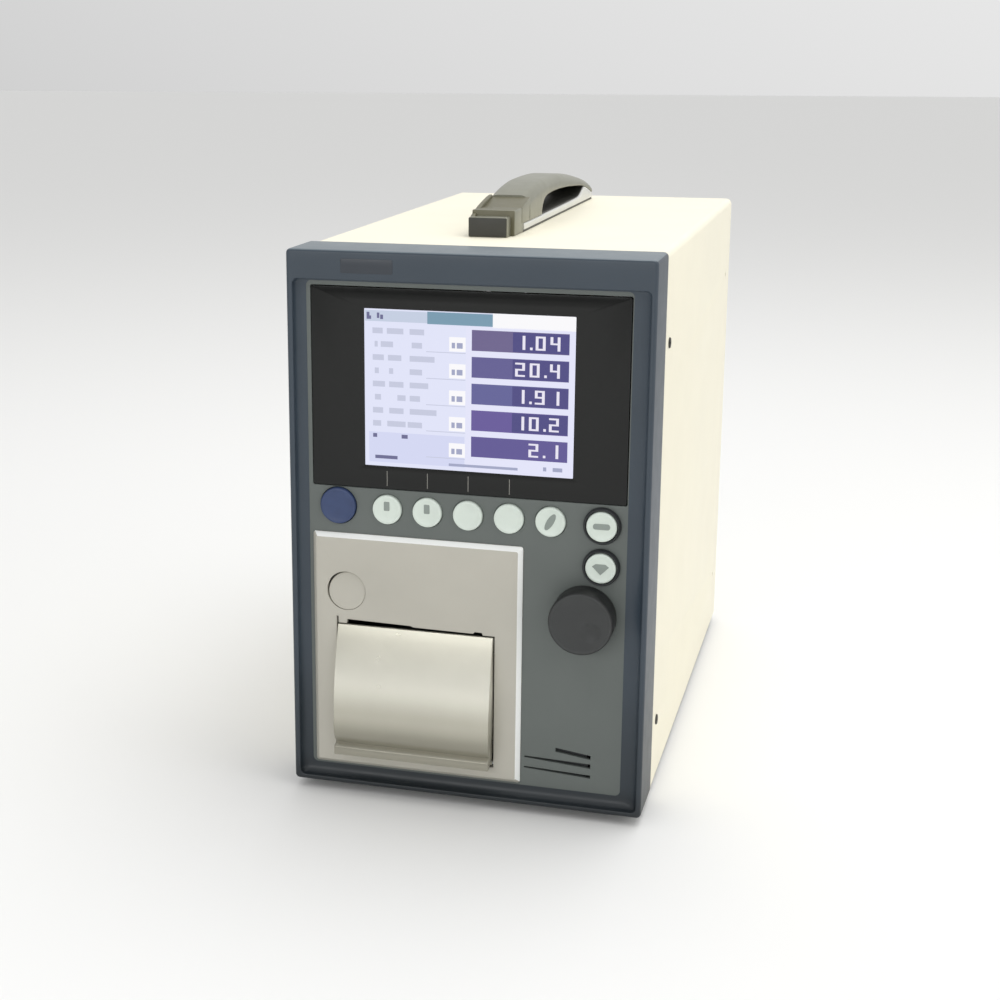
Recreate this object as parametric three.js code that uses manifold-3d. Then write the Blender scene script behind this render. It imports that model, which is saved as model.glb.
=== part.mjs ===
// Portable bench analyser: dark front bezel with a colour display, function keys, a rotary knob
// and a built-in paper printer, in a cream sheet-metal case with a carrying handle on top.
// Millimetres. +X is the user's right, +Y runs from the front to the back, +Z is up.
// The origin is under the middle of the object, on the surface that its feet stand on.

import * as THREE from 'three';
import { mergeVertices } from 'three/addons/utils/BufferGeometryUtils.js';
import Module from 'manifold-3d';

const wasm = await Module();
wasm.setup();

// ---- driving dimensions. Inside the model, Y = 0 is the bezel's front face and Z = 0 is the
// ---- underside of the case; the last lines move everything to the origin.
const WIDTH = 200; // bezel, side to side
const HEIGHT = 305.5; // bezel, bottom to top
const DEPTH = 365; // bezel face to the cover's rear edge
const FOOT_HEIGHT = 5;
const KNOB_PROUD = 9; // knob, in front of the bezel's face
const PORT_PROUD = 12; // hose ports, behind the cover's rear edge
const GAP = 0.3; // clearance between pieces that are fitted to each other

const BEZEL_DEPTH = 36;
const BEZEL_FLANGE = 5.7; // thickness of the bezel's front flange
const BEZEL_WALL = 4;
const PANEL_Y = BEZEL_FLANGE + GAP; // front face of the control panel
const PANEL_BACK = PANEL_Y + 2.5;

const SHEET = 1.5; // sheet metal
const COVER_SIDE = WIDTH / 2 - 1; // outer face of the cover's sides
const COVER_TOP = HEIGHT - 1;
const INNER_SIDE = COVER_SIDE - SHEET - GAP; // room inside the cover
const REAR_PANEL_Y = DEPTH - 6;

const WINDOW = { x0: -87.8, x1: 86.4, z0: 175, z1: 285.4, front: PANEL_Y - 0.2, back: PANEL_Y + 2.6 };
const LCD = { x: -0.2, z: 230.9, width: 144, height: 104.6, depth: 9 };

const KEY_ROW_Z = 163.2;
const SOFT_KEY = { count: 5, x: -45.3, pitch: 22.8, r: 8.2 };
const POWER_KEY = { x: -73.5, z: 163.6, r: 10.2 };
const FUNCTION_KEY = { x: 73.9, z: [163.1, 140.1], r: 8.2, ring: 10.2 };
const KNOB = { x: 65.5, z: 111.8, r: 17.5 };
const SPEAKER = { x: 52, z: 25 };
const FLANGE_GAP = 1.2; // back of the panel to the back of a key's flange
const SWITCH_TOP = PANEL_BACK + 4.4; // front of the switches under the keys
const KEYPAD_Y = 17; // front face of the keypad's board

const FRAME = { x0: -88.4, x1: 31.3, z0: 10.6, z1: 148, front: PANEL_Y - 3, back: 12 };
const DOOR = { x0: -73.8, x1: 15.8, z0: 19.6, z1: 95.3 }; // printer door, closed
const DOOR_PIVOT = { y: 4.6, z: 21.6, r: 1.2 };
const RELEASE = { x: -68.7, z: 115, r: 11 };
const WELL = { x0: -77, x1: 19, y0: 12.3, y1: 80, z0: 15.5, z1: 100 };
const ROLL = { x: -29, width: 79, r: 25, y: 46, z: 44 };
const PLATEN = { y: 22, z: 110, r: 6 };
const GEAR_MODULE = 0.8;
const GEAR_X = [18.6, 22.6];
const TEETH = { platen: 20, idler: 28, pinion: 12 };

const HANDLE = { x: -8.1, y0: 86, y1: 351, width: 25.4, rise: 25.9 };
const FAN = { x: -60, z: 235, r: 18, size: 40, depth: 15 };
const INLET = { x: -64, z: 60, rockerY: REAR_PANEL_Y - 1, rockerZ: 72 };
const PORT = { x: 62, outletZ: 48, inletZ: 84 }; // hose ports
const SCREW = { y: 57, rearY: DEPTH - 22, z: [36, 254] }; // cover screws and their spare rear holes
const FOOT = { x: 74, y: [68, DEPTH - 40] };

// ---- solids: three.js shapes, joined and cut as closed bodies ----

function solid(geometry) {
  const plain = geometry.clone();
  plain.deleteAttribute('normal');
  plain.deleteAttribute('uv');
  const merged = mergeVertices(plain, 1e-4);
  return new wasm.Manifold(new wasm.Mesh({
    numProp: 3,
    vertProperties: new Float32Array(merged.attributes.position.array),
    triVerts: new Uint32Array(merged.index.array),
  }));
}

const join = (first, ...rest) => rest.reduce((sum, piece) => sum.add(piece), first);
const cut = (first, ...rest) => rest.reduce((left, tool) => left.subtract(tool), first);

function box(x0, x1, y0, y1, z0, z1) {
  const shape = new THREE.BoxGeometry(x1 - x0, y1 - y0, z1 - z0);
  return solid(shape.translate((x0 + x1) / 2, (y0 + y1) / 2, (z0 + z1) / 2));
}

// A box whose front and back faces are different rectangles, each given as [x0, x1, z0, z1].
function taperedBox(front, back, y0, y1) {
  const shape = new THREE.BoxGeometry(2, 2, 2);
  const place = shape.attributes.position;
  for (let i = 0; i < place.count; i++) {
    const [x0, x1, z0, z1] = place.getY(i) < 0 ? front : back;
    const x = place.getX(i) < 0 ? x0 : x1;
    const z = place.getZ(i) < 0 ? z0 : z1;
    place.setXYZ(i, x, place.getY(i) < 0 ? y0 : y1, z);
  }
  return solid(shape);
}

function rodAlong(axis, r, from, to, a, b, sides = 24, rEnd = r) {
  const rod = new THREE.CylinderGeometry(rEnd, r, to - from, sides);
  const middle = (from + to) / 2;
  if (axis === 'x') return solid(rod.rotateZ(-Math.PI / 2).translate(middle, a, b));
  if (axis === 'y') return solid(rod.translate(a, middle, b));
  return solid(rod.rotateX(Math.PI / 2).translate(a, b, middle));
}

const rodX = (r, x0, x1, y, z, sides, rEnd) => rodAlong('x', r, x0, x1, y, z, sides, rEnd);
const rodY = (r, y0, y1, x, z, sides, rEnd) => rodAlong('y', r, y0, y1, x, z, sides, rEnd);
const rodZ = (r, z0, z1, x, y, sides, rEnd) => rodAlong('z', r, z0, z1, x, y, sides, rEnd);

// A shape drawn in X and Z, as thick as y0 to y1.
function slabY(shape, y0, y1, curveSegments = 5) {
  const options = { depth: y1 - y0, bevelEnabled: false, curveSegments };
  const slab = new THREE.ExtrudeGeometry(shape, options);
  return solid(slab.rotateX(Math.PI / 2).translate(0, y1, 0));
}

// A shape drawn in Y and Z, as wide as x0 to x1.
function slabX(shape, x0, x1, curveSegments = 5) {
  const options = { depth: x1 - x0, bevelEnabled: false, curveSegments };
  const slab = new THREE.ExtrudeGeometry(shape, options);
  const turn = new THREE.Matrix4().makeBasis(
    new THREE.Vector3(0, 1, 0), new THREE.Vector3(0, 0, 1), new THREE.Vector3(1, 0, 0));
  return solid(slab.applyMatrix4(turn).translate(x0, 0, 0));
}

function roundedRect(x0, x1, z0, z1, r) {
  const shape = new THREE.Shape();
  shape.moveTo(x0 + r, z0);
  shape.lineTo(x1 - r, z0);
  shape.absarc(x1 - r, z0 + r, r, -Math.PI / 2, 0);
  shape.lineTo(x1, z1 - r);
  shape.absarc(x1 - r, z1 - r, r, 0, Math.PI / 2);
  shape.lineTo(x0 + r, z1);
  shape.absarc(x0 + r, z1 - r, r, Math.PI / 2, Math.PI);
  shape.lineTo(x0, z0 + r);
  shape.absarc(x0 + r, z0 + r, r, Math.PI, Math.PI * 1.5);
  return shape;
}

function outline(points) {
  return new THREE.Shape(points.map(([a, b]) => new THREE.Vector2(a, b)));
}

// ---- finishes and the scene graph ----

const finish = (color, roughness, metalness = 0) => ({ color, roughness, metalness });
const DARK_PLASTIC = finish(0x3c444a, 0.55);
const PANEL_GREY = finish(0x6a7069, 0.6);
const BLACK_GLOSS = finish(0x1c1d1c, 0.15);
const BEIGE_PLASTIC = finish(0xbcbab0, 0.5);
const CREAM_PAINT = finish(0xefead3, 0.55);
const KEY_WHITE = finish(0xdbe4da, 0.45);
const BLACK_PLASTIC = finish(0x222425, 0.5);
const STEEL = finish(0xa8aaab, 0.35, 1);
const ZINC_SHEET = finish(0xb8babb, 0.45, 1);
const RUBBER = finish(0x1b1b1b, 0.85);
const BOARD_GREEN = finish(0x1f5a35, 0.5);
const BRASS = finish(0xc7ab6a, 0.35, 1);
const GEAR_WHITE = finish(0xd8d6cc, 0.5);

const front = new THREE.Group();

function add(name, body, look) {
  const mesh = body.getMesh();
  const geometry = new THREE.BufferGeometry();
  geometry.setAttribute('position', new THREE.BufferAttribute(mesh.vertProperties, 3));
  geometry.setIndex(new THREE.BufferAttribute(mesh.triVerts, 1));
  const material = new THREE.MeshStandardMaterial({ ...look });
  const piece = new THREE.Mesh(geometry, material);
  piece.name = name;
  front.add(piece);
}

// ---- front: bezel, panel, display ----

function frontBezel() {
  const outer = slabY(roundedRect(-WIDTH / 2, WIDTH / 2, 0, HEIGHT, 3), 0, BEZEL_DEPTH, 3);
  const mouth = taperedBox(
    [-96.5, 97, 3, 289.6], [-90.5, 87.4, 9.5, 288.2], -1, BEZEL_FLANGE + 1);
  const cavity = box(-WIDTH / 2 + BEZEL_WALL, WIDTH / 2 - BEZEL_WALL,
    BEZEL_FLANGE, BEZEL_DEPTH + 1, BEZEL_WALL, HEIGHT - BEZEL_WALL);
  let bezel = cut(outer, mouth, cavity);
  for (const side of [-1, 1]) {
    for (const z of SCREW.z) {
      // Ears behind the bezel, inside the cover, that take the cover's front screws.
      const inside = side * (INNER_SIDE - 3);
      const outside = side * INNER_SIDE;
      const x0 = Math.min(inside, outside);
      const x1 = Math.max(inside, outside);
      bezel = join(bezel, box(x0, x1, BEZEL_DEPTH - 10, 68, z - 9, z + 9));
      bezel = cut(bezel, rodX(1.6, x0 - 1, x1 + 1, SCREW.y, z, 12));
    }
  }
  return bezel;
}

function speakerSlots() {
  const slots = [];
  const right = 70.6;
  for (const [left, z, thick] of [[51, 30, 2.4], [33.5, 24.8, 2.6], [33.5, 18.6, 1.8]]) {
    const thin = left > 40 ? thick : 0.9;
    slots.push(slabY(outline([[left, z + 1.4], [right, z - thick / 2],
      [right, z + thick / 2], [left, z + 1.4 + thin]]), PANEL_Y - 1, PANEL_BACK + 1));
  }
  return slots;
}

function controlPanel() {
  const through = [PANEL_Y - 1, PANEL_BACK + 1];
  const plate = box(-WIDTH / 2 + BEZEL_WALL + GAP, WIDTH / 2 - BEZEL_WALL - GAP,
    PANEL_Y, PANEL_BACK, BEZEL_WALL + GAP, HEIGHT - BEZEL_WALL - GAP);
  const holes = [box(WINDOW.x0 - GAP, WINDOW.x1 + GAP, ...through, WINDOW.z0 - GAP, WINDOW.z1 + GAP)];
  holes.push(box(FRAME.x0 + 5, FRAME.x1 - 5, ...through, FRAME.z0 + 4, FRAME.z1 - 4));
  holes.push(rodY(POWER_KEY.r + 0.4, ...through, POWER_KEY.x, POWER_KEY.z));
  for (let i = 0; i < SOFT_KEY.count; i++) {
    holes.push(rodY(SOFT_KEY.r + 0.4, ...through, SOFT_KEY.x + i * SOFT_KEY.pitch, KEY_ROW_Z));
  }
  for (const z of FUNCTION_KEY.z) {
    holes.push(rodY(FUNCTION_KEY.r + 0.4, ...through, FUNCTION_KEY.x, z));
  }
  holes.push(rodY(5, ...through, KNOB.x, KNOB.z));
  return cut(plate, ...holes, ...speakerSlots());
}

function displayWindow() {
  return box(WINDOW.x0, WINDOW.x1, WINDOW.front, WINDOW.back, WINDOW.z0, WINDOW.z1);
}

function lcdModule() {
  const { x, z, width, height, depth } = LCD;
  const y = WINDOW.back + GAP;
  const edge = x + width / 2;
  const can = box(x - width / 2, edge, y, y + depth, z - height / 2, z + height / 2);
  const backlightLead = box(edge, edge + 6, y + 3, y + depth - 2, z - 30, z - 20);
  return join(can, backlightLead);
}

function displayBoard() {
  const { x, z } = LCD;
  const board = box(x - 68, x + 68, 21, 22.6, z - 48, z + 48);
  const chips = [];
  for (const [dx, dz, s] of [[-40, 10, 14], [0, 14, 20], [38, -12, 12], [-8, -28, 10]]) {
    chips.push(box(x + dx - s / 2, x + dx + s / 2, 22.6, 25, z + dz - s / 2, z + dz + s / 2));
  }
  const posts = [];
  for (const dx of [-62, 62]) {
    for (const dz of [-42, 42]) posts.push(rodY(2.5, 18.7, 21, x + dx, z + dz, 10));
  }
  return join(board, ...chips, ...posts);
}

function key(x, z, r, top) {
  const cap = rodY(r, top, PANEL_BACK + 3, x, z, 24);
  const flange = rodY(r + 1.4, PANEL_BACK + FLANGE_GAP - 1, PANEL_BACK + FLANGE_GAP, x, z, 12);
  return join(cap, flange);
}

function keypadBoard() {
  const strip = box(-88, 88, KEYPAD_Y, KEYPAD_Y + 1.6, 151, 175);
  const tab = box(61, 88, KEYPAD_Y, KEYPAD_Y + 1.6, 129, 152);
  const places = [[POWER_KEY.x, POWER_KEY.z]];
  for (let i = 0; i < SOFT_KEY.count; i++) places.push([SOFT_KEY.x + i * SOFT_KEY.pitch, KEY_ROW_Z]);
  for (const z of FUNCTION_KEY.z) places.push([FUNCTION_KEY.x, z]);
  const switches = places.map(([x, z]) => box(x - 3, x + 3, SWITCH_TOP, KEYPAD_Y, z - 3, z + 3));
  return join(strip, tab, ...switches);
}

function functionRing(z) {
  const ring = rodY(FUNCTION_KEY.ring, PANEL_Y - 3, PANEL_Y - 0.1, FUNCTION_KEY.x, z, 24);
  return cut(ring, rodY(FUNCTION_KEY.r + 0.5, PANEL_Y - 4, PANEL_Y + 1, FUNCTION_KEY.x, z, 24));
}

function controlKnob() {
  const { x, z, r } = KNOB;
  const back = PANEL_Y - 0.6;
  const body = rodY(r, -KNOB_PROUD + 2, back, x, z, 40);
  const nose = rodY(r - 1.8, -KNOB_PROUD, -KNOB_PROUD + 2, x, z, 40, r);
  const dimple = rodY(5.5, -KNOB_PROUD - 1, -KNOB_PROUD + 1.5, x + 6.4, z - 4, 24, 4.5);
  const nutRoom = rodY(9, 0.6, back + 1, x, z, 24);
  const bore = rodY(3.15, -4, 2, x, z, 24);
  return cut(join(body, nose), dimple, nutRoom, bore);
}

function encoderBody() {
  const { x, z } = KNOB;
  const can = box(x - 6.5, x + 6.5, PANEL_BACK + 0.2, PANEL_BACK + 9, z - 6.5, z + 6.5);
  const bush = rodY(4.6, 3, PANEL_BACK + 1, x, z, 20);
  const nut = rodY(7, 3.4, PANEL_Y - 0.1, x, z, 6);
  const bore = rodY(3.4, 2, PANEL_BACK + 5, x, z, 20);
  return cut(join(can, bush, nut), bore);
}

function speaker() {
  const { x, z } = SPEAKER;
  const basket = rodY(17, PANEL_BACK + 0.2, PANEL_BACK + 4, x, z, 28);
  const cone = rodY(14, PANEL_BACK + 4, PANEL_BACK + 9, x, z, 24, 9);
  return join(basket, cone, rodY(9.5, PANEL_BACK + 9, PANEL_BACK + 15, x, z, 24));
}

// ---- printer ----

// The door's pin, or the bore for it, running on past the door at each side.
function doorPin(r, past) {
  return rodX(r, DOOR.x0 - past, DOOR.x1 + past, DOOR_PIVOT.y, DOOR_PIVOT.z, 16);
}

function printerFrame() {
  const { x0, x1, z0, z1 } = FRAME;
  const edge = 2.4;
  const face = taperedBox([x0 + edge, x1 - edge, z0 + edge, z1 - edge], [x0, x1, z0, z1],
    FRAME.front, PANEL_Y - 0.1);
  const collar = box(x0 + 5.3, x1 - 5.3, PANEL_Y - 1, FRAME.back, z0 + 4.3, z1 - 4.3);
  const opening = box(DOOR.x0 - 0.6, DOOR.x1 + 0.6, 0, 20, DOOR.z0 - 0.6, 97);
  const slotRoom = box(-72, 14, FRAME.front + 3.6, 20, 90, 101.4);
  const releaseHole = rodY(RELEASE.r + 0.3, 0, 20, RELEASE.x, RELEASE.z, 32);
  const pinBore = doorPin(DOOR_PIVOT.r + 0.15, 3);
  return cut(join(face, collar), opening, slotRoom, releaseHole, pinBore);
}

// Profile of the door in Y and Z: a shell that swells forward below the paper slot and ends in
// a lip, closed at the ends by cheeks of the same outline.
function doorOutline() {
  const outer = [[FRAME.front - 0.2, DOOR.z1]];
  for (let i = 1; i <= 7; i++) {
    const t = i / 7;
    outer.push([FRAME.front - 0.2 - 10 * Math.sin(t * Math.PI / 2), DOOR.z1 - t * 58]);
  }
  return outer.concat([[-6.4, 30], [-5.6, 26.5], [-7.6, 24.4], [-7.8, DOOR.z0 + 0.6]]);
}

function printerDoor() {
  const outer = doorOutline();
  // The underside rises towards the pin, so the open door clears the frame's sill.
  const underside = [[-3.6, DOOR.z0 + 1.4], [-0.4, DOOR.z0 + 3.6],
    [DOOR_PIVOT.y - 1.2, DOOR_PIVOT.z + 1]];
  const backEdge = [[DOOR_PIVOT.y - 1.2, DOOR_PIVOT.z + 4], [FRAME.front + 2, DOOR_PIVOT.z + 6],
    [FRAME.front + 2, DOOR.z1]];
  const body = slabX(outline([...outer, ...underside, ...backEdge].reverse()), DOOR.x0, DOOR.x1);
  const hollow = [];
  for (let i = 0; i <= 6; i++) {
    const t = i / 6;
    hollow.push([FRAME.front + 1.6 - 9.6 * Math.sin(t * Math.PI / 2), DOOR.z1 - 2 - t * 56]);
  }
  hollow.push([-4.6, 31.5], [-2, 27], [FRAME.front + 3, 27], [FRAME.front + 3, DOOR.z1 - 2]);
  const inside = slabX(outline(hollow.reverse()), DOOR.x0 + 2, DOOR.x1 - 2);
  const knuckles = [];
  for (const x of [DOOR.x0, DOOR.x1 - 8]) {
    knuckles.push(rodX(1.85, x, x + 8, DOOR_PIVOT.y, DOOR_PIVOT.z, 16));
  }
  const bore = doorPin(DOOR_PIVOT.r + 0.15, 1);
  return cut(join(cut(body, inside), ...knuckles), bore);
}

function releaseButton() {
  const { x, z, r } = RELEASE;
  const disc = rodY(r, FRAME.front, FRAME.back + 2, x, z, 32);
  const flange = rodY(r + 1.5, FRAME.back + 1.4, FRAME.back + 2.4, x, z, 24);
  // The face slopes back towards the top, so a thumb finds the edge and presses it.
  const slope = taperedBox([x - 20, x + 20, z - r, z + 20], [x - 20, x + 20, z + r + 1, z + 20],
    FRAME.front - 2, FRAME.front + 2.4);
  return cut(join(disc, flange), slope);
}

function paperWell() {
  const { x0, x1, y0, y1, z0, z1 } = WELL;
  const tray = cut(box(x0, x1, y0, y1, z0, z1),
    box(x0 + SHEET, x1 - SHEET, y0 - 1, y1 - SHEET, z0 + SHEET, z1 - SHEET));
  return cut(tray, box(-70, 12, y0 - 1, y0 + 12, z1 - 5, z1 + 1));
}

function paperRoll() {
  const roll = rodX(ROLL.r, ROLL.x - ROLL.width / 2, ROLL.x + ROLL.width / 2, ROLL.y, ROLL.z, 40);
  return cut(roll, rodX(6, ROLL.x - ROLL.width, ROLL.x + ROLL.width, ROLL.y, ROLL.z, 20));
}

const pitchRadius = (teeth) => (GEAR_MODULE * teeth) / 2;
const involute = (angle) => Math.tan(angle) - angle;

// Involute gear outline with one tooth centred on the given angle.
function gearShape(teeth, phase) {
  const pitchR = pitchRadius(teeth);
  const pressure = THREE.MathUtils.degToRad(20);
  const baseR = pitchR * Math.cos(pressure);
  const tipR = pitchR + 0.85 * GEAR_MODULE;
  const rootR = pitchR - 1.2 * GEAR_MODULE;
  const halfTooth = Math.PI / (2 * teeth) - 0.1 / pitchR;
  const half = (r) => halfTooth + involute(pressure) - involute(Math.acos(Math.min(1, baseR / r)));
  const radii = [rootR, pitchR, tipR];
  const points = [];
  for (let i = 0; i < teeth; i++) {
    const middle = phase + (i * 2 * Math.PI) / teeth;
    for (const r of radii) points.push([r, middle - half(r)]);
    for (const r of [...radii].reverse()) points.push([r, middle + half(r)]);
  }
  return (y, z) => outline(points.map(([r, a]) => [y + r * Math.cos(a), z + r * Math.sin(a)]));
}

const PITCH = {
  platen: pitchRadius(TEETH.platen),
  idler: pitchRadius(TEETH.idler),
  pinion: pitchRadius(TEETH.pinion),
};
const IDLER_ANGLE = THREE.MathUtils.degToRad(20); // from the platen to the idler
const PINION_ANGLE = THREE.MathUtils.degToRad(80); // from the idler to the pinion
const IDLER = {
  y: PLATEN.y + (PITCH.platen + PITCH.idler) * Math.cos(IDLER_ANGLE),
  z: PLATEN.z + (PITCH.platen + PITCH.idler) * Math.sin(IDLER_ANGLE),
};
const PINION = {
  y: IDLER.y + (PITCH.idler + PITCH.pinion) * Math.cos(PINION_ANGLE),
  z: IDLER.z + (PITCH.idler + PITCH.pinion) * Math.sin(PINION_ANGLE),
};

// The phase that puts a gear in mesh with the one before it in the train.
function meshPhase(angle, phaseBefore, teethBefore, teeth) {
  const fraction = (angle - phaseBefore) / (2 * Math.PI / teethBefore);
  return angle + Math.PI - (0.5 - fraction) * (2 * Math.PI / teeth);
}

const IDLER_PHASE = meshPhase(IDLER_ANGLE, 0, TEETH.platen, TEETH.idler);
const PINION_PHASE = meshPhase(PINION_ANGLE, IDLER_PHASE, TEETH.idler, TEETH.pinion);

function platenRoller() {
  const { y, z, r } = PLATEN;
  return join(rodX(r, -68, 10, y, z, 28), rodX(2.5, -77.5, 23, y, z, 16));
}

function platenGear() {
  const { y, z } = PLATEN;
  const gear = slabX(gearShape(TEETH.platen, 0)(y, z), ...GEAR_X);
  return cut(gear, rodX(2.65, 10, 30, y, z, 16));
}

function idlerGear() {
  const { y, z } = IDLER;
  const gear = slabX(gearShape(TEETH.idler, IDLER_PHASE)(y, z), ...GEAR_X);
  return cut(gear, rodX(2.2, 10, 30, y, z, 16));
}

function motorPinion() {
  const { y, z } = PINION;
  const gear = slabX(gearShape(TEETH.pinion, PINION_PHASE)(y, z), ...GEAR_X);
  return join(gear, rodX(1.5, 13, GEAR_X[1], y, z, 14));
}

function printMechanism() {
  const rightPlate = box(14.5, 16, 14, 51, 101.6, 126);
  const leftPlate = box(-75, -73.5, 16.6, 37, 101.6, 126);
  const floor = box(-75, 16, 33, 37, 101.6, 103.4);
  const spine = box(-75, 16, 35.5, 37, 101.6, 124);
  const holes = [rodX(2.9, -80, 20, PLATEN.y, PLATEN.z, 20)];
  const axle = rodX(1.9, 14.5, 23, IDLER.y, IDLER.z, 16);
  return join(cut(join(rightPlate, leftPlate, floor, spine), ...holes), axle);
}

function printerMotor() {
  const { y, z } = PINION;
  const can = rodX(9, -14, 14, y, z, 28);
  const foot = box(8, 16, y - 6, y + 8, 126.3, z);
  const boss = rodX(4, 13, 17, y, z, 20);
  return cut(join(can, foot, boss), rodX(2, 10, 20, y, z, 16));
}

function thermalHead() {
  const plate = box(-66, 8, PLATEN.y + PLATEN.r + 0.4, PLATEN.y + PLATEN.r + 2.4, 103.6, 119);
  const bracket = box(-38, -20, PLATEN.y + PLATEN.r + 2, 35.3, 108, 114);
  return join(plate, bracket);
}

function tearBar() {
  const teeth = [];
  const count = 22;
  for (let i = 0; i < count; i++) {
    const x = -68 + (i * 78) / count;
    teeth.push([x, 98], [x + 39 / count, 97.3]);
  }
  return slabY(outline([...teeth, [10, 98], [10, 100.6], [-68, 100.6]]), FRAME.front + 4.2, 9);
}

// ---- case ----

function caseCover() {
  const profile = roundedRect(-COVER_SIDE, COVER_SIDE, -10, COVER_TOP, 4);
  const inner = roundedRect(-COVER_SIDE + SHEET, COVER_SIDE - SHEET, -12, COVER_TOP - SHEET, 2.5);
  const shell = cut(slabY(profile, BEZEL_DEPTH + GAP, DEPTH),
    slabY(inner, BEZEL_DEPTH - 1, DEPTH + 1), box(-120, 120, 0, 400, -20, 0));
  const holes = [];
  for (const y of [SCREW.y, SCREW.rearY]) {
    for (const z of SCREW.z) holes.push(rodX(1.7, -WIDTH, WIDTH, y, z, 12));
  }
  return cut(shell, ...holes);
}

function baseChassis() {
  const floor = box(-INNER_SIDE, INNER_SIDE, BEZEL_DEPTH + GAP, REAR_PANEL_Y - GAP, 0, SHEET);
  const flanges = [];
  for (const side of [-1, 1]) {
    const x0 = Math.min(side * INNER_SIDE, side * (INNER_SIDE - SHEET));
    flanges.push(box(x0, x0 + SHEET, 72, REAR_PANEL_Y - GAP, 0, 22));
  }
  const frontFlange = box(-90, 90, BEZEL_DEPTH + GAP, BEZEL_DEPTH + GAP + SHEET, 0, 14);
  return join(floor, ...flanges, frontFlange);
}

function rearPanel() {
  const sheet = roundedRect(-INNER_SIDE, INNER_SIDE, 0.4, COVER_TOP - SHEET - GAP, 2.8);
  const plate = slabY(sheet, REAR_PANEL_Y, REAR_PANEL_Y + SHEET, 3);
  const through = [REAR_PANEL_Y - 1, REAR_PANEL_Y + 3];
  const holes = [box(INLET.x - 14.3, INLET.x + 14.3, ...through, INLET.z - 24.3, INLET.z + 24.3)];
  holes.push(rodY(FAN.r, ...through, FAN.x, FAN.z, 32));
  holes.push(box(24, 50, ...through, 232, 244));
  for (const z of [PORT.inletZ, PORT.outletZ]) holes.push(rodY(5.2, ...through, PORT.x, z, 20));
  for (let i = 0; i < 6; i++) holes.push(box(15, 75, ...through, 268 + i * 5, 270.5 + i * 5));
  return cut(plate, ...holes);
}

// Appliance inlet with three blades in its well and a rocker switch above it, in one housing.
function mainsInlet() {
  const { x, z } = INLET;
  const face = slabY(roundedRect(x - 17, x + 17, z - 27, z + 27, 2),
    REAR_PANEL_Y + SHEET + 0.1, REAR_PANEL_Y + SHEET + 3.4, 2);
  const body = box(x - 14, x + 14, REAR_PANEL_Y - 24, REAR_PANEL_Y + SHEET + 1, z - 24, z + 24);
  const socket = box(x - 12.2, x + 12.2, REAR_PANEL_Y - 15, DEPTH + 2, z - 21, z - 4);
  const switchRoom = box(x - 9.6, x + 9.6, REAR_PANEL_Y - 9, DEPTH + 2, z + 2.5, z + 21.5);
  const blades = [[x - 7, z - 15], [x + 7, z - 15], [x, z - 9]].map(([bx, bz]) => (
    box(bx - 1, bx + 1, REAR_PANEL_Y - 16, REAR_PANEL_Y + 1, bz - 2, bz + 2)));
  return join(cut(join(face, body), socket, switchRoom), ...blades);
}

function mainsSwitch() {
  const { x, rockerY: y, rockerZ: z } = INLET;
  const rock = outline([[y - 3, z - 6], [y - 3, z + 6], [y + 4.6, z + 6.6],
    [y + 4.2, z], [y + 7, z - 6.6]]);
  return slabX(rock, x - 9, x + 9);
}

function fanFrame() {
  const { x, z, size, depth } = FAN;
  const back = REAR_PANEL_Y - 0.2;
  const body = box(x - size / 2, x + size / 2, back - depth, back, z - size / 2, z + size / 2);
  const tunnel = cut(body, rodY(FAN.r, back - depth - 1, back + 1, x, z, 32));
  const hub = rodY(9, back - depth, back - depth + 3, x, z, 20);
  const arms = [];
  for (const turn of [45, 165, 285]) {
    const arm = new THREE.BoxGeometry(2.2, 3, FAN.r + 1).translate(0, 0, (FAN.r + 1) / 2);
    arm.rotateY(THREE.MathUtils.degToRad(turn)).translate(x, back - depth + 1.5, z);
    arms.push(solid(arm));
  }
  return join(tunnel, hub, ...arms);
}

function fanRotor() {
  const { x, z, depth } = FAN;
  const back = REAR_PANEL_Y - 0.2;
  const hub = rodY(9.5, back - depth + 3.6, back - 1.2, x, z, 24);
  const blades = [];
  for (let i = 0; i < 7; i++) {
    const blade = new THREE.BoxGeometry(1.2, 9.5, 8.4).rotateZ(0.65).translate(0, 0, 12.4);
    blade.rotateY((i * 2 * Math.PI) / 7).translate(x, back - depth / 2 + 0.8, z);
    blades.push(solid(blade));
  }
  return join(hub, ...blades);
}

function ring(x, z, r, wire, y) {
  const outer = rodY(r + wire, y, y + 2 * wire, x, z, 20);
  return cut(outer, rodY(r - wire, y - 1, y + 2 * wire + 1, x, z, 20));
}

function fanGuard() {
  const { x, z } = FAN;
  const y = REAR_PANEL_Y + SHEET + 0.2;
  const rings = [6, 12, 17].map((r) => ring(x, z, r, 0.7, y));
  const spokes = [45, 135].map((turn) => {
    const spoke = new THREE.BoxGeometry(46, 1.4, 1.4);
    return solid(spoke.rotateY(THREE.MathUtils.degToRad(turn)).translate(x, y + 0.7, z));
  });
  return join(...rings, ...spokes);
}

function dataConnector() {
  const shell = outline([[27, 233.5], [47, 233.5], [48.6, 242.5], [25.4, 242.5]]);
  const body = slabY(shell, REAR_PANEL_Y - 8, DEPTH - 0.5);
  const flange = box(21, 53, REAR_PANEL_Y + SHEET + 0.1, REAR_PANEL_Y + SHEET + 1.1, 231, 245);
  return join(body, flange);
}

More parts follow.
